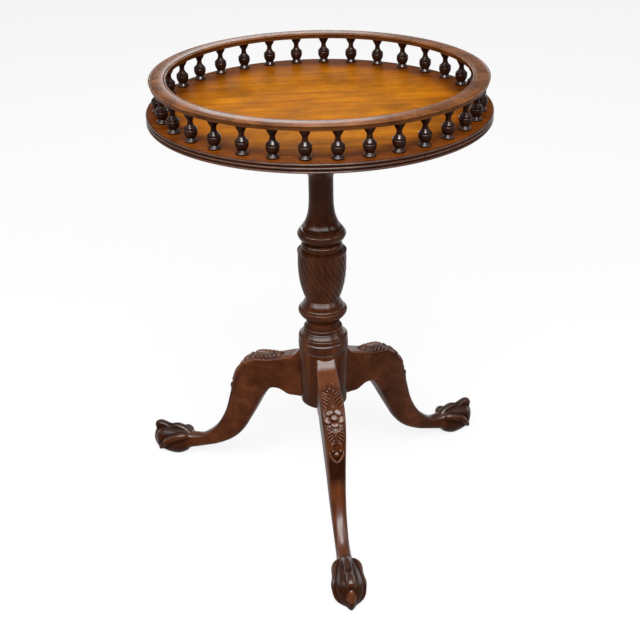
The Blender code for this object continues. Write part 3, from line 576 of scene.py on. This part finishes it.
def turned(name, profile, sides=TURNED_SIDES):
    """Mesh turned about the axis from (radius, height) points, listed from the bottom up."""
    angles = 2.0 * np.pi * np.arange(sides) / sides
    radius = np.array([point[0] for point in profile])[:, None]
    height = np.array([point[1] for point in profile])[:, None]
    return mesh_of(name, round_grid(radius, height, angles))


def add_piece(name, mesh, material, nodes, place=AXIS):
    """A piece of the dressed model that stands for the named nodes of the frame."""
    piece = bpy.data.objects.new(name, mesh)
    bpy.context.scene.collection.objects.link(piece)
    if material not in list(mesh.materials):
        mesh.materials.append(material)
    piece.matrix_world = Matrix.Translation(place)
    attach(piece, "root")
    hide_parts(*nodes)
    return piece


# Materials


def add_node(tree, kind, inputs, **settings):
    """Shader node with its settings, and each input either linked or set."""
    made = tree.nodes.new(kind)
    for key, value in settings.items():
        setattr(made, key, value)
    for key, value in inputs.items():
        if isinstance(value, bpy.types.NodeSocket):
            tree.links.new(value, made.inputs[key])
        else:
            made.inputs[key].default_value = value
    return made


def new_material(name):
    """Material with its node tree and main shader."""
    material = bpy.data.materials.new(name)
    material.use_nodes = True
    tree = material.node_tree
    return material, tree, tree.nodes["Principled BSDF"]


def ramp(tree, factor, stops):
    """Colour ramp over (place, colour) stops."""
    made = add_node(tree, "ShaderNodeValToRGB", {"Fac": factor})
    ends = made.color_ramp.elements
    while len(ends) < len(stops):
        ends.new(0.5)
    for element, (place, colour) in zip(ends, stops):
        element.position = place
        element.color = (*colour, 1.0)
    return made.outputs["Color"]


def multiply(tree, first, second):
    """Product of two values."""
    return add_node(tree, "ShaderNodeMath", {0: first, 1: second}, operation="MULTIPLY").outputs["Value"]


def maximum(tree, first, second):
    """Larger of two values."""
    return add_node(tree, "ShaderNodeMath", {0: first, 1: second}, operation="MAXIMUM").outputs["Value"]


def mix_colour(tree, factor, first, second, blend="MIX"):
    """Blend of two colours, each a socket or plain values."""
    made = add_node(tree, "ShaderNodeMix", {"Factor": factor}, data_type="RGBA", blend_type=blend)
    for socket, value in (("A_Color", first), ("B_Color", second)):
        target = next(entry for entry in made.inputs if entry.identifier == socket)
        if isinstance(value, bpy.types.NodeSocket):
            tree.links.new(value, target)
        else:
            target.default_value = (*value, 1.0)
    return next(entry for entry in made.outputs if entry.identifier == "Result_Color")


def map_range(tree, value, low, high, to_low, to_high):
    """Value taken from one range to another, and held at its ends."""
    inputs = {"Value": value, "From Min": low, "From Max": high, "To Min": to_low, "To Max": to_high}
    return add_node(tree, "ShaderNodeMapRange", inputs).outputs["Result"]


def noise(tree, place, scale, seed, settings):
    """Noise over scaled places, with its detail, roughness and distortion."""
    detail, roughness, distortion = settings
    scaled = add_node(tree, "ShaderNodeMapping", {"Vector": place, "Scale": scale}).outputs["Vector"]
    inputs = {"Vector": scaled, "W": seed, "Scale": 1.0, "Detail": detail}
    inputs |= {"Roughness": roughness, "Distortion": distortion}
    return add_node(tree, "ShaderNodeTexNoise", inputs, noise_dimensions="4D").outputs["Fac"]


def shaded(colour, shade):
    """Three values, each times the shade."""
    return tuple(shade * value for value in colour)


def wood(
    name, dark, middle, light, grain, roughness, specular, bump=0.08, darkening_colour=None, grain_place=None
):
    """Polished wood: streaks along the grain, slow cloudy figure, fine pores, and painted shade and sheen."""
    material, tree, shader = new_material(name)
    coordinates = add_node(tree, "ShaderNodeTexCoord", {}).outputs
    place = coordinates["Object"]
    if grain_place:
        place = add_node(tree, "ShaderNodeAttribute", {}, attribute_name=grain_place).outputs["Vector"]
    lot = add_node(tree, "ShaderNodeObjectInfo", {}).outputs["Random"]
    seed = multiply(tree, lot, LOT_SEEDS)
    streaks = noise(tree, place, grain, seed, STREAK_NOISE)
    clouds = noise(tree, place, CLOUD_SCALE, seed, CLOUD_NOISE)
    pores = noise(tree, place, shaded(grain, PORE_FINENESS), seed, PORE_NOISE)
    colour = ramp(tree, streaks, list(zip(STREAK_STOPS, (dark, middle, light))))
    shade = ramp(tree, clouds, list(zip(CLOUD_RANGE, CLOUD_SHADES)))
    colour = mix_colour(tree, 1.0, colour, shade, "MULTIPLY")
    flecks = map_range(tree, pores, *FLECK_RANGE, 0.0, FLECK_STRENGTH)
    colour = mix_colour(tree, flecks, colour, shaded(dark, FLECK_SHADE))
    upward = add_node(tree, "ShaderNodeSeparateXYZ", {"Vector": coordinates["Normal"]}).outputs["Z"]
    polish = map_range(tree, upward, *UPWARD_RANGE, *specular)
    if darkening_colour:
        # painted sheen below 0 and painted shade above 0 on the attribute
        depth = add_node(tree, "ShaderNodeAttribute", {}, attribute_name="shade_and_sheen").outputs["Fac"]
        painted_sheen = map_range(tree, depth, 0.0, -1.0, 0.0, PAINTED_SHEEN_STRENGTH)
        colour = mix_colour(tree, painted_sheen, colour, shaded(light, PAINTED_SHEEN_SHADE))
        shading = map_range(tree, depth, 0.0, 1.0, 0.0, DARKENING_STRENGTH)
        colour = mix_colour(tree, shading, colour, darkening_colour)
        polish = multiply(tree, polish, map_range(tree, depth, *DARKENING_DULLS, 1.0, DARKENED_POLISH))
    gloss = map_range(tree, clouds, *CLOUD_RANGE, *roughness)
    relief = add_node(tree, "ShaderNodeBump", {"Height": pores, "Strength": bump, "Distance": PORE_DEPTH})
    tree.links.new(colour, shader.inputs["Base Color"])
    tree.links.new(gloss, shader.inputs["Roughness"])
    tree.links.new(relief.outputs["Normal"], shader.inputs["Normal"])
    tree.links.new(polish, shader.inputs["Specular IOR Level"])
    return material


def steel():
    """Dull zinced screws with turning marks."""
    material, tree, shader = new_material("dull_steel")
    place = add_node(tree, "ShaderNodeTexCoord", {}).outputs["Object"]
    marks = noise(tree, place, STEEL_MARKS, 0.0, STEEL_NOISE)
    tree.links.new(ramp(tree, marks, STEEL_SHADES), shader.inputs["Base Color"])
    tree.links.new(map_range(tree, marks, *STEEL_RANGE, *STEEL_ROUGHNESS), shader.inputs["Roughness"])
    shader.inputs["Metallic"].default_value = 1.0
    return material


def paint_rim_shade(material):
    """Painted shade of the rail on the board's top, darker towards its edge."""
    tree = material.node_tree
    shader = tree.nodes["Principled BSDF"]
    colour = shader.inputs["Base Color"].links[0].from_socket
    place = add_node(tree, "ShaderNodeTexCoord", {}).outputs["Object"]
    flat = add_node(tree, "ShaderNodeVectorMath", {0: place, 1: (1.0, 1.0, 0.0)}, operation="MULTIPLY")
    reach = add_node(tree, "ShaderNodeVectorMath", {0: flat.outputs["Vector"]}, operation="LENGTH")
    shade = ramp(tree, reach.outputs["Value"], BOARD_RIM_SHADE)
    tree.links.new(mix_colour(tree, 1.0, colour, shade, "MULTIPLY"), shader.inputs["Base Color"])


def make_materials():
    """The woods and the screws' steel, by key."""
    materials = {key: wood(**look) for key, look in WOODS.items()}
    paint_rim_shade(materials["amber"])
    materials["steel"] = steel()
    return materials


# Pieces


def make_board(materials):
    """Flat board in amber with three dark, rounded reeds round its edge, with painted shade in their grooves.
    """
    inner = BOARD_RADIUS - REED_DEPTH
    pitch = (BOARD_HIGH.z - BOARD_LOW.z + EDGE_GROOVE) / EDGE_REEDS
    profile = []
    for k in range(EDGE_REEDS):
        low_z = BOARD_LOW.z + k * pitch
        profile += bead(inner, BOARD_RADIUS, inner, low_z, low_z + pitch - EDGE_GROOVE)
    mesh = turned("fine_top_board", profile, BOARD_SIDES)
    mesh.materials.append(materials["amber"])
    mesh.materials.append(materials["edge"])
    for face in mesh.polygons:
        face.material_index = 0 if abs(face.normal.z) > FLAT_FACE else 1
    # painted shade, darker towards the bottom of each groove
    shading = mesh.attributes.new("shade_and_sheen", "FLOAT", "POINT").data
    for vertex, entry in zip(mesh.vertices, shading):
        entry.value = ((BOARD_RADIUS - vertex.co.xy.length) / REED_DEPTH) ** 2
    add_piece("fine_top_board", mesh, materials["amber"], ["top_board"])


def rail_half_section():
    """(distance from the middle line, height over the underside, painted shade) up one side to the crown."""
    edge = RAIL_WIDTH / 2
    fascia = edge - RAIL_FASCIA_INSET
    thickness = RAIL_HIGH.z - RAIL_LOW.z
    points = [(fascia, 0.0, RAIL_FASCIA_SHADE), (fascia, RAIL_FASCIA_HEIGHT, RAIL_FASCIA_SHADE)]
    bead_centre = (edge - RAIL_BEAD_WIDTH, thickness - RAIL_BEAD_DROP)
    bead_size = (RAIL_BEAD_WIDTH, RAIL_BEAD_HEIGHT)
    edge_bead = arc(bead_centre, bead_size, *RAIL_BEAD_ARC_DEG, 2 * ARC_STEPS)
    points += [(*point, 0.0) for point in edge_bead]
    points.append((RAIL_GROOVE_PLACE, thickness - RAIL_GROOVE, RAIL_GROOVE_SHADE))
    crown_centre = (0.0, thickness - RAIL_CROWN_HEIGHT)
    crown_size = (RAIL_CROWN_WIDTH, RAIL_CROWN_HEIGHT)
    points += [(*point, 0.0) for point in arc(crown_centre, crown_size, *RAIL_CROWN_ARC_DEG)]
    return points


def make_rail(materials):
    """Three arcs of the moulded rail, with slanted ends that meet in glued scarf joints."""
    half = rail_half_section()
    section = [(-across, height, shading) for across, height, shading in half] + half[::-1]
    across = np.array([point[0] for point in section])
    height = np.array([point[1] for point in section])
    shading = np.tile([point[2] for point in section], (RAIL_STEPS + 1, 1))
    middle = BOARD_RADIUS - RAIL_SETBACK - RAIL_WIDTH / 2
    lag = across * math.tan(math.radians(RAIL_SCARF_DEG)) / middle
    gap = GLUE_LINE / middle / math.cos(math.radians(RAIL_SCARF_DEG))
    span = 2.0 * math.pi / len(RAIL_NAMES)
    for number, node in enumerate(RAIL_NAMES):
        start = math.radians(FIRST_SCARF_DEG) + number * span + gap / 2
        angles = start + (span - gap) * np.arange(RAIL_STEPS + 1)[:, None] / RAIL_STEPS + lag
        grid = round_grid(middle + across, RAIL_LOW.z + height, angles)
        name = f"fine_{node}"
        add_piece(name, mesh_of(name, grid, shade_and_sheen=shading), materials["rail"], [node])


def spindle_profile():
    """Turned foot ring, bulb, cone, neck and flared head, over the board's top."""
    points = []
    for curve in (SPINDLE_FOOT, SPINDLE_BULB):
        points += smooth_points(curve)
    points += SPINDLE_RING
    points += smooth_points(SPINDLE_HEAD)
    points.append((SPINDLE_HEAD[-1][0], RAIL_LOW.z - BOARD_HIGH.z - GLUE_LINE))
    return points


def make_spindles(materials):
    """One turned mesh at the place of every spindle."""
    mesh = turned("fine_spindle", spindle_profile(), SPINDLE_SIDES)
    for node in SPINDLE_NAMES:
        low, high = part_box(node)
        place = (low + high) / 2
        place.z = BOARD_HIGH.z
        add_piece(f"fine_{node}", mesh, materials["spindle"], [node], place)


def shaft_profile():
    """Bell foot with a thin lip, plain shaft, cove under a collar, and the drum up to the block."""
    foot_z = URN_HIGH.z + GLUE_LINE
    points = bead(BELL_RADIUS - BELL_LIP, BELL_RADIUS, BELL_RADIUS - BELL_LIP, foot_z, foot_z + 2 * BELL_LIP)
    for k in range(1, 4 * ARC_STEPS + 1):
        t = k / (4 * ARC_STEPS)
        swell = (1.0 - t) ** BELL_STEEPNESS
        radius = SHAFT_RADIUS + (BELL_RADIUS - BELL_LIP - SHAFT_RADIUS) * swell
        points.append((radius, foot_z + 2 * BELL_LIP + (BELL_HEIGHT - 2 * BELL_LIP) * t))
    flare = (CAPITAL_COVE_RADIUS - SHAFT_RADIUS, CAPITAL_COVE_HEIGHT)
    points += arc((CAPITAL_COVE_RADIUS, CAPITAL_FOOT_Z), (-flare[0], flare[1]), 0.0, 90.0, 2 * ARC_STEPS)
    collar_z = CAPITAL_FOOT_Z + CAPITAL_COVE_HEIGHT
    drum_z = collar_z + CAPITAL_COLLAR_HEIGHT
    points += bead(CAPITAL_COVE_RADIUS, CAPITAL_COLLAR_RADIUS, CAPITAL_DRUM_RADIUS, collar_z, drum_z)
    points.append((CAPITAL_DRUM_RADIUS, BLOCK_LOW.z - GLUE_LINE))
    return points


def urn_radius(z):
    """Plain outline of the urn's body."""
    t = min(1.0, (z - URN_BODY_Z) / URN_BODY_HEIGHT)
    return URN_FOOT_RADIUS + (URN_RADIUS - URN_FOOT_RADIUS) * (1.0 - (1.0 - t) ** URN_FULLNESS)


def urn_foot():
    """Waist, and the lower ring with its sharp edge and swept top, up to the flutes' foot."""
    return list(WAIST) + smooth_points(LOWER_RING) + smooth_points(LOWER_RING_TOP)


def urn_head():
    """Thin edge over the flutes, shoulder bead, upper ring, fillet and the lip under the shaft."""
    rim = urn_radius(FLUTE_TOP_Z) + URN_EDGE
    points = [(rim, FLUTE_TOP_Z + URN_EDGE), (rim, FLUTE_TOP_Z + 3 * URN_EDGE)]
    points += bead(*SHOULDER_RADII, *SHOULDER_LEVELS)
    points += smooth_points(UPPER_RING)
    fillet_z = URN_HIGH.z - URN_FILLET_DROP
    lip_z = fillet_z + URN_FILLET_HEIGHT
    points += [(URN_FILLET_RADIUS, fillet_z), (URN_FILLET_RADIUS, lip_z)]
    points += [(URN_LIP_RADIUS, lip_z + URN_EDGE), (URN_LIP_RADIUS, URN_HIGH.z)]
    return points


def urn_rows():
    """(radius, height, share of the flutes' depth, share of their height) from the hub to the shaft."""
    rows = [(radius, z, 0.0, 0.0) for radius, z in urn_foot()]
    for k in range(FLUTE_RINGS + 1):
        t = k / FLUTE_RINGS
        z = FLUTE_FOOT_Z + (FLUTE_TOP_Z - FLUTE_FOOT_Z) * t
        depth = min(1.0, FLUTE_FOOT_RATE * t, FLUTE_TOP_RATE * (1.0 - t)) ** 0.5
        rows.append((urn_radius(z), z, depth, t))
    return np.array(rows + [(radius, z, 0.0, 1.0) for radius, z in urn_head()])


def make_urn(materials):
    """Urn between its two rings, with twisted flutes cut round its body and painted shade in their grooves.
    """
    rows = urn_rows()
    sides = FLUTES * POINTS_PER_FLUTE
    share = np.arange(sides) % POINTS_PER_FLUTE / POINTS_PER_FLUTE
    groove = 1.0 - np.sqrt(np.sin(np.pi * share))
    twist = FLUTE_START_DEG + FLUTE_TWIST_DEG * (1.0 - rows[:, 3]) ** FLUTE_TWIST_GROWTH
    angles = np.radians(twist[:, None] + 360.0 * np.arange(sides) / sides)
    radius = rows[:, :1] - FLUTE_DEPTH * rows[:, 2:3] * groove
    grid = round_grid(radius, rows[:, 1:2], angles)
    mesh = mesh_of("fine_pillar_urn", grid, shade_and_sheen=FLUTE_SHADE * rows[:, 2:3] * groove)
    add_piece("fine_pillar_urn", mesh, materials["pillar"], ["pillar_urn"])


def hub_profile():
    """Tapered drum, band, two beads with a stepped cove between them."""
    dome_z = HUB_BAND_Z + HUB_BAND_HEIGHT
    inset = HUB_TOP_RADIUS - HUB_QUIRK
    points = [(HUB_FOOT_RADIUS, HUB_LOW.z), (HUB_TOP_RADIUS, HUB_BAND_Z - HUB_QUIRK), (inset, HUB_BAND_Z)]
    band_inner = HUB_BAND_RADIUS - HUB_QUIRK / 2
    band_levels = (HUB_BAND_Z + HUB_QUIRK / 2, dome_z - HUB_QUIRK / 2)
    points += bead(band_inner, HUB_BAND_RADIUS, band_inner, *band_levels)
    points += bead(*HUB_LOW_BEAD)
    points += HUB_COVE
    points += bead(*HUB_HIGH_BEAD)
    points.append((WAIST[0][0], HUB_HIGH.z))
    return points


def make_pillar(materials):
    """Shaft, urn, hub and the cap under the hub."""
    mesh = turned("fine_pillar_shaft", shaft_profile())
    add_piece("fine_pillar_shaft", mesh, materials["pillar"], ["pillar_shaft"])
    make_urn(materials)
    mesh = turned("fine_pillar_hub", hub_profile())
    add_piece("fine_pillar_hub", mesh, materials["pillar"], ["pillar_hub"])
    profile = [(radius, CAP_LOW.z + rise) for radius, rise in CAP_PROFILE]
    profile.append((CAP_PROFILE[-1][0], CAP_HIGH.z))
    mesh = turned("fine_hub_cap", profile)
    add_piece("fine_hub_cap", mesh, materials["pillar"], ["hub_cap"])


def leg_sections():
    """(top run, top z, under run, under z, half width, squareness, claws) from the hub to the talon's tip."""
    start = math.sqrt(HUB_RADIUS**2 - (LEG_ROOT_WIDTH / 2) ** 2) - LEG_LET_IN + GLUE_LINE
    run = FOOT_CIRCLE_RADIUS - start
    top_z = HUB_BAND_Z - LEG_TOP_DROP
    knee = max(i for i, station in enumerate(LEG_STATIONS) if station[4] == 1.0)
    no_claws = (FOOT_STATIONS[0][4], 0.0, FOOT_STATIONS[0][6], 0.0)
    sections = []
    for place in (start - LEG_ROOT_SUNK, start):
        sections.append((place, top_z, place, HUB_LOW.z, LEG_ROOT_WIDTH / 2, LEG_STATIONS[0][5], *no_claws))
    for i, (top_run, top_rise, under_run, under_rise, share, square) in enumerate(LEG_STATIONS):
        if share is None:
            width = LEG_ROOT_WIDTH + (LEG_KNEE_WIDTH - LEG_ROOT_WIDTH) * (i + 1) / (knee + 1)
        else:
            width = LEG_ANKLE_WIDTH + (LEG_KNEE_WIDTH - LEG_ANKLE_WIDTH) * share
        top = (start + top_run * run, top_rise * top_z)
        under = (start + under_run * run, under_rise * HUB_LOW.z)
        sections.append((*top, *under, width / 2, square, *no_claws))
    centre_z = BALL_HEIGHT / 2 - SOLE_CUT
    for along, top, under, width, *claws in FOOT_STATIONS:
        place = FOOT_CIRCLE_RADIUS + along * BALL_LENGTH / 2
        high = centre_z + top * BALL_HEIGHT / 2
        low = centre_z + under * BALL_HEIGHT / 2
        sections.append((place, high, place, low, width * BALL_WIDTH / 2, BALL_SQUARENESS, *claws))
    return sections


def ring_directions(square):
    """(across, up) points of a unit superellipse, from the top's +X corner round by the -X side."""
    corner = 0.5 ** (1.0 / square)
    flat = np.linspace(-1.0, 1.0, LEG_TOP_POINTS, endpoint=False) * corner
    side = np.linspace(1.0, -1.0, LEG_SIDE_POINTS, endpoint=False) * corner
    under = np.linspace(1.0, -1.0, LEG_UNDER_POINTS, endpoint=False) * corner
    lines = (flat, side, under)
    rest_flat, rest_side, rest_under = ((1.0 - np.abs(line) ** square) ** (1.0 / square) for line in lines)
    across = np.concatenate([-flat, -rest_side, -under, rest_side])
    up = np.concatenate([rest_flat, side, -rest_under, -side])
    return across, up


def surface_normals(grid):
    """Outward directions at every point of a tube's grid."""
    round_it = np.roll(grid, -1, axis=1) - np.roll(grid, 1, axis=1)
    down_it = np.gradient(grid, axis=0)
    normal = np.cross(round_it, down_it)
    length = np.linalg.norm(normal, axis=2, keepdims=True)
    return normal / np.maximum(length, 1e-12)


def joint_share(along, joints):
    """1 on a claw's bones, less at its joints."""
    share = np.ones_like(along)
    for place, depth, reach in joints:
        share *= 1.0 - depth * np.exp(-(((along - place) / reach) ** 2))
    return share


def claw_round(offset):
    """Rounded section of a claw, 1 at its middle and 0 from an offset of 1 on."""
    return np.clip(1.0 - offset**2, 0.0, 1.0) ** CLAW_ROUNDNESS


def claw_rise(across, up, claws, along):
    """Height of the claws over the ball, round each section."""
    angle = np.degrees(np.arctan2(up, np.abs(across)))
    front_span, front_rise, side_angle, side_rise = (claws[:, k : k + 1] for k in range(4))
    front = claw_round((90.0 - angle) / front_span) * front_rise
    side = claw_round((angle - side_angle) / SIDE_CLAW_SPAN_DEG) * side_rise
    front = front * joint_share(along, MIDDLE_CLAW_JOINTS)
    side = side * joint_share(along, SIDE_CLAW_JOINTS)
    return CLAW_RISE * np.maximum(front, side)


def dome(along, across, place, half, height):
    """Rounded bump over an ellipse."""
    reach = ((along - place[0]) / half[0]) ** 2 + ((across - place[1]) / half[1]) ** 2
    return height * np.sqrt(np.clip(1.0 - reach**2, 0.0, 1.0))


def rib_height(along, across, rib):
    """Height of a rounded rib that tapers to both ends, on its three-point curve."""
    first, middle, last, width, height = rib
    t = np.linspace(0.0, 1.0, RIB_POINTS)[:, None]
    curve = (1 - t) ** 2 * np.array(first) + 2 * t * (1 - t) * np.array(middle) + t**2 * np.array(last)
    reach = np.hypot(along[..., None] - curve[:, 0], across[..., None] - curve[:, 1])
    nearest = reach.argmin(axis=-1)
    half = width / 2 * np.sin(np.pi * (RIB_ARCH_START + RIB_ARCH_SPAN * t[nearest, 0]))
    return height * np.sqrt(np.clip(1.0 - (reach.min(axis=-1) / half) ** 2, 0.0, 1.0))


def rosette_height(along, across):
    """Five dished petals in a ring."""
    height = np.zeros_like(along)
    for k in range(ROSETTE_PETALS):
        angle = 2.0 * math.pi * k / ROSETTE_PETALS
        out = (along - ROSETTE_CENTRE) * math.cos(angle) + across * math.sin(angle) - ROSETTE_PETAL_PLACE
        round_it = across * math.cos(angle) - (along - ROSETTE_CENTRE) * math.sin(angle)
        half = (ROSETTE_PETAL_LENGTH, ROSETTE_PETAL_WIDTH)
        petal = dome(out, round_it, (0.0, 0.0), half, ROSETTE_PETAL_HEIGHT)
        dish_out = (out + ROSETTE_DISH_SHIFT) / ROSETTE_DISH_LENGTH
        dish = ROSETTE_DISH_DEPTH * np.exp(-(dish_out**2) - (round_it / ROSETTE_DISH_WIDTH) ** 2)
        height = np.maximum(height, petal - dish * (petal > 0.0))
    return height


def smooth_step(value, low, high):
    """0 under the low value, 1 over the high one, and smooth between."""
    t = np.clip((value - low) / (high - low), 0.0, 1.0)
    return t * t * (3.0 - 2.0 * t)


def plateau(value, start, full, fading, end):
    """0 outside start and end, 1 between full and fading, and smooth between."""
    return smooth_step(value, start, full) * (1.0 - smooth_step(value, fading, end))


def carving_height(along, across):
    """Knee carving over the leg's top, in millimetres."""
    ground = CARVED_GROUND_RISE * plateau(along, *CARVED_GROUND)
    height = rosette_height(along, across)
    for place, side, length, width, rise in CARVED_BUMPS:
        height = np.maximum(height, dome(along, np.abs(across), (place, side), (length, width), rise))
    for rib in CARVED_RIBS:
        height = np.maximum(height, rib_height(along, np.abs(across), rib))
    return ground + height


def hollows(height):
    """How far each point lies under the mean of its neighbours, in millimetres."""
    mean = height
    for axis, reach in enumerate(HOLLOW_REACH):
        mean = sum(np.roll(mean, k, axis=axis) for k in range(-reach, reach + 1)) / (2 * reach + 1)
    return mean - height


def leg_shading(relief, along, up, foot_place):
    """Painted shade in hollows and on the shin, painted highlight on crests, root and talons; foot darker."""
    foot = smooth_step(foot_place, *FOOT_ZONE)
    # painted shade in the hollows and painted highlight on the crests, less on the foot
    shading = HOLLOW_SHADING * hollows(relief) * (1.0 - FOOT_HOLLOW_LOSS * foot)
    # painted sheen on the root's top, painted shade on the shin below the carving
    for share, *zone in SHADE_AND_SHEEN_ZONES:
        shading[:, :LEG_TOP_POINTS] += share * plateau(along, *zone)
    # the whole foot darker
    shading += FOOT_DARKENING * foot
    # painted highlight on the talons' upward faces
    shading -= TALON_SHEEN * (up > 0.0) * smooth_step(foot_place, *TALON_ZONE)
    return shading


def make_leg_mesh():
    """One leg towards -Y: a smooth loft with the carving and the claws raised on it."""
    sections = leg_sections()
    steps = []
    for i, (near, far) in enumerate(zip(sections, sections[1:])):
        length = math.dist(near[:2], far[:2])
        ring = FINE_RING if i in CARVED_SPANS else COARSE_RING
        steps.append(max(LEAST_RINGS, round(length / ring)))
    rows = smooth_line(sections, steps)
    across, up = (np.array(part) for part in zip(*(ring_directions(square) for square in rows[:, 5])))
    top, under = rows[:, :2], rows[:, 2:4]
    middle = (top + under) / 2
    rise = (top - under) / 2
    run = middle[:, :1] + rise[:, :1] * up
    height = middle[:, 1:] + rise[:, 1:] * up
    grid = np.stack([across * rows[:, 4:5], -run, height], axis=2)
    normal = surface_normals(grid)
    length = np.concatenate([[0.0], np.cumsum(np.hypot(*np.diff(top, axis=0).T))]) - LEG_ROOT_SUNK
    along = np.repeat(MILLIMETRES * length[:, None], LEG_TOP_POINTS, axis=1)
    relief = np.zeros(grid.shape[:2])
    relief[:, :LEG_TOP_POINTS] = carving_height(along, MILLIMETRES * grid[:, :LEG_TOP_POINTS, 0])
    foot_place = (run - FOOT_CIRCLE_RADIUS) / (BALL_LENGTH / 2)
    relief += MILLIMETRES * claw_rise(across, up, rows[:, 6:], foot_place)
    grid = grid + normal * relief[..., None] / MILLIMETRES
    grid[..., 2] = np.maximum(grid[..., 2], 0.0)
    shade_and_sheen = leg_shading(relief, along, up, foot_place)
    return mesh_of("fine_leg", grid, shade_and_sheen=np.clip(shade_and_sheen, -1.0, 1.0))


def make_legs(materials):
    """Three turned copies of the leg, each with its places along the leg kept for the grain."""
    front = make_leg_mesh()
    places = np.empty(3 * len(front.vertices), np.float32)
    front.vertices.foreach_get("co", places)
    front.attributes.new("grain_place", "FLOAT_VECTOR", "POINT").data.foreach_set("vector", places)
    for node, angle in LEG_ANGLES_DEG.items():
        mesh = front.copy()
        mesh.name = f"fine_{node}"
        mesh.transform(Matrix.Rotation(math.radians(angle), 4, "Z"))
        add_piece(f"fine_{node}", mesh, materials["leg"], [node])
    bpy.data.meshes.remove(front)


def dress_hidden_nodes(materials):
    """The block, its screws and the wedge keep their solids and get their finish."""
    for finish, names in (("steel", SCREW_NAMES), ("beech", BEECH_NAMES)):
        for name in names:
            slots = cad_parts[name].data.materials
            slots.clear()
            slots.append(materials[finish])


# Stage


def add_camera():
    """Camera where the photograph was taken from."""
    data = bpy.data.cameras.new("camera")
    data.sensor_width = SENSOR_WIDTH
    data.lens = FOCAL_PIXELS * SENSOR_WIDTH / IMAGE_SIZE
    camera = bpy.data.objects.new("camera", data)
    bpy.context.scene.collection.objects.link(camera)
    look = Vector((
        math.sin(CAMERA_YAW) * math.cos(CAMERA_PITCH),
        math.cos(CAMERA_YAW) * math.cos(CAMERA_PITCH),
        -math.sin(CAMERA_PITCH),
    ))
    right = Vector((math.cos(CAMERA_YAW), -math.sin(CAMERA_YAW), 0.0))
    up = right.cross(look)
    lean_right = right * math.cos(CAMERA_ROLL) + up * math.sin(CAMERA_ROLL)
    lean_up = up * math.cos(CAMERA_ROLL) - right * math.sin(CAMERA_ROLL)
    turn = Matrix.Rotation(math.radians(CAMERA_TURN_DEG), 4, "Z")
    facing = Matrix((lean_right, lean_up, -look)).transposed().to_4x4()
    stand = Matrix.Translation((0.0, -CAMERA_DISTANCE, CAMERA_HEIGHT))
    camera.matrix_world = Matrix.Translation(AXIS) @ turn @ stand @ facing
    bpy.context.scene.camera = camera


def sees_background(tree):
    """1 for rays that should meet a plain white background."""
    path = add_node(tree, "ShaderNodeLightPath", {}).outputs
    seen = path["Is Camera Ray"]
    for ray in ("Is Glossy Ray", "Is Transmission Ray"):
        seen = maximum(tree, seen, path[ray])
    return seen


def add_floor():
    """Pale floor: what the camera sees of it is white, with the table's shadow."""
    mesh = bpy.data.meshes.new("floor")
    sides = ((-1, -1), (1, -1), (1, 1), (-1, 1))
    corners = [(x * FLOOR_HALF_SIZE, y * FLOOR_HALF_SIZE, -FLOOR_DROP) for x, y in sides]
    mesh.from_pydata(corners, [], [(0, 1, 2, 3)])
    floor = bpy.data.objects.new("floor", mesh)
    bpy.context.scene.collection.objects.link(floor)
    material, tree, shader = new_material("floor")
    tree.nodes.remove(shader)
    plain = add_node(tree, "ShaderNodeBsdfDiffuse", {"Color": FLOOR_COLOUR}).outputs["BSDF"]
    shadow = add_node(tree, "ShaderNodeBsdfDiffuse", {"Color": FLOOR_SHADOW_COLOUR}).outputs["BSDF"]
    white = add_node(tree, "ShaderNodeEmission", {"Strength": FLOOR_GLOW}).outputs["Emission"]
    shown = add_node(tree, "ShaderNodeAddShader", {0: shadow, 1: white}).outputs["Shader"]
    choice = add_node(tree, "ShaderNodeMixShader", {0: sees_background(tree), 1: plain, 2: shown})
    tree.links.new(choice.outputs["Shader"], tree.nodes["Material Output"].inputs["Surface"])
    mesh.materials.append(material)


def add_world():
    """Soft studio: dim walls and a brighter ceiling, behind a pale backdrop along the horizon."""
    world = bpy.data.worlds.new("studio")
    bpy.context.scene.world = world
    world.use_nodes = True
    tree = world.node_tree
    direction = add_node(tree, "ShaderNodeTexCoord", {}).outputs["Generated"]
    height = add_node(tree, "ShaderNodeSeparateXYZ", {"Vector": direction}).outputs["Z"]
    walls = map_range(tree, height, CEILING_START, 1.0, WALL_LIGHT, CEILING_LIGHT)
    backdrop = map_range(tree, height, *BACKDROP_FADE, BACKDROP_LIGHT, 0.0)
    shown = multiply(tree, backdrop, sees_background(tree))
    tree.links.new(maximum(tree, walls, shown), tree.nodes["Background"].inputs["Strength"])
    tree.nodes["Background"].inputs["Color"].default_value = (1.0, 1.0, 1.0, 1.0)


def add_softbox(name, place, width, height, radiance):
    """Rectangular lamp that faces the middle of the table."""
    data = bpy.data.lights.new(name, "AREA")
    data.shape = "RECTANGLE"
    data.size = width
    data.size_y = height
    data.energy = radiance * math.pi * width * height
    lamp = bpy.data.objects.new(name, data)
    bpy.context.scene.collection.objects.link(lamp)
    lamp.location = Vector(place)
    target = AXIS + Vector((0.0, 0.0, LAMP_AIM_HEIGHT))
    lamp.rotation_euler = (lamp.location - target).to_track_quat("Z", "Y").to_euler()


def add_lamps():
    """Every softbox of the studio."""
    for name, (place, width, height, radiance) in SOFTBOXES.items():
        add_softbox(name, place, width, height, radiance)


def main():
    """Build the dressed table and its stage."""
    materials = make_materials()
    add_camera()
    make_board(materials)
    make_rail(materials)
    make_spindles(materials)
    make_pillar(materials)
    make_legs(materials)
    dress_hidden_nodes(materials)
    add_floor()
    add_world()
    add_lamps()
    bpy.context.scene.view_settings.view_transform = "Standard"


main()
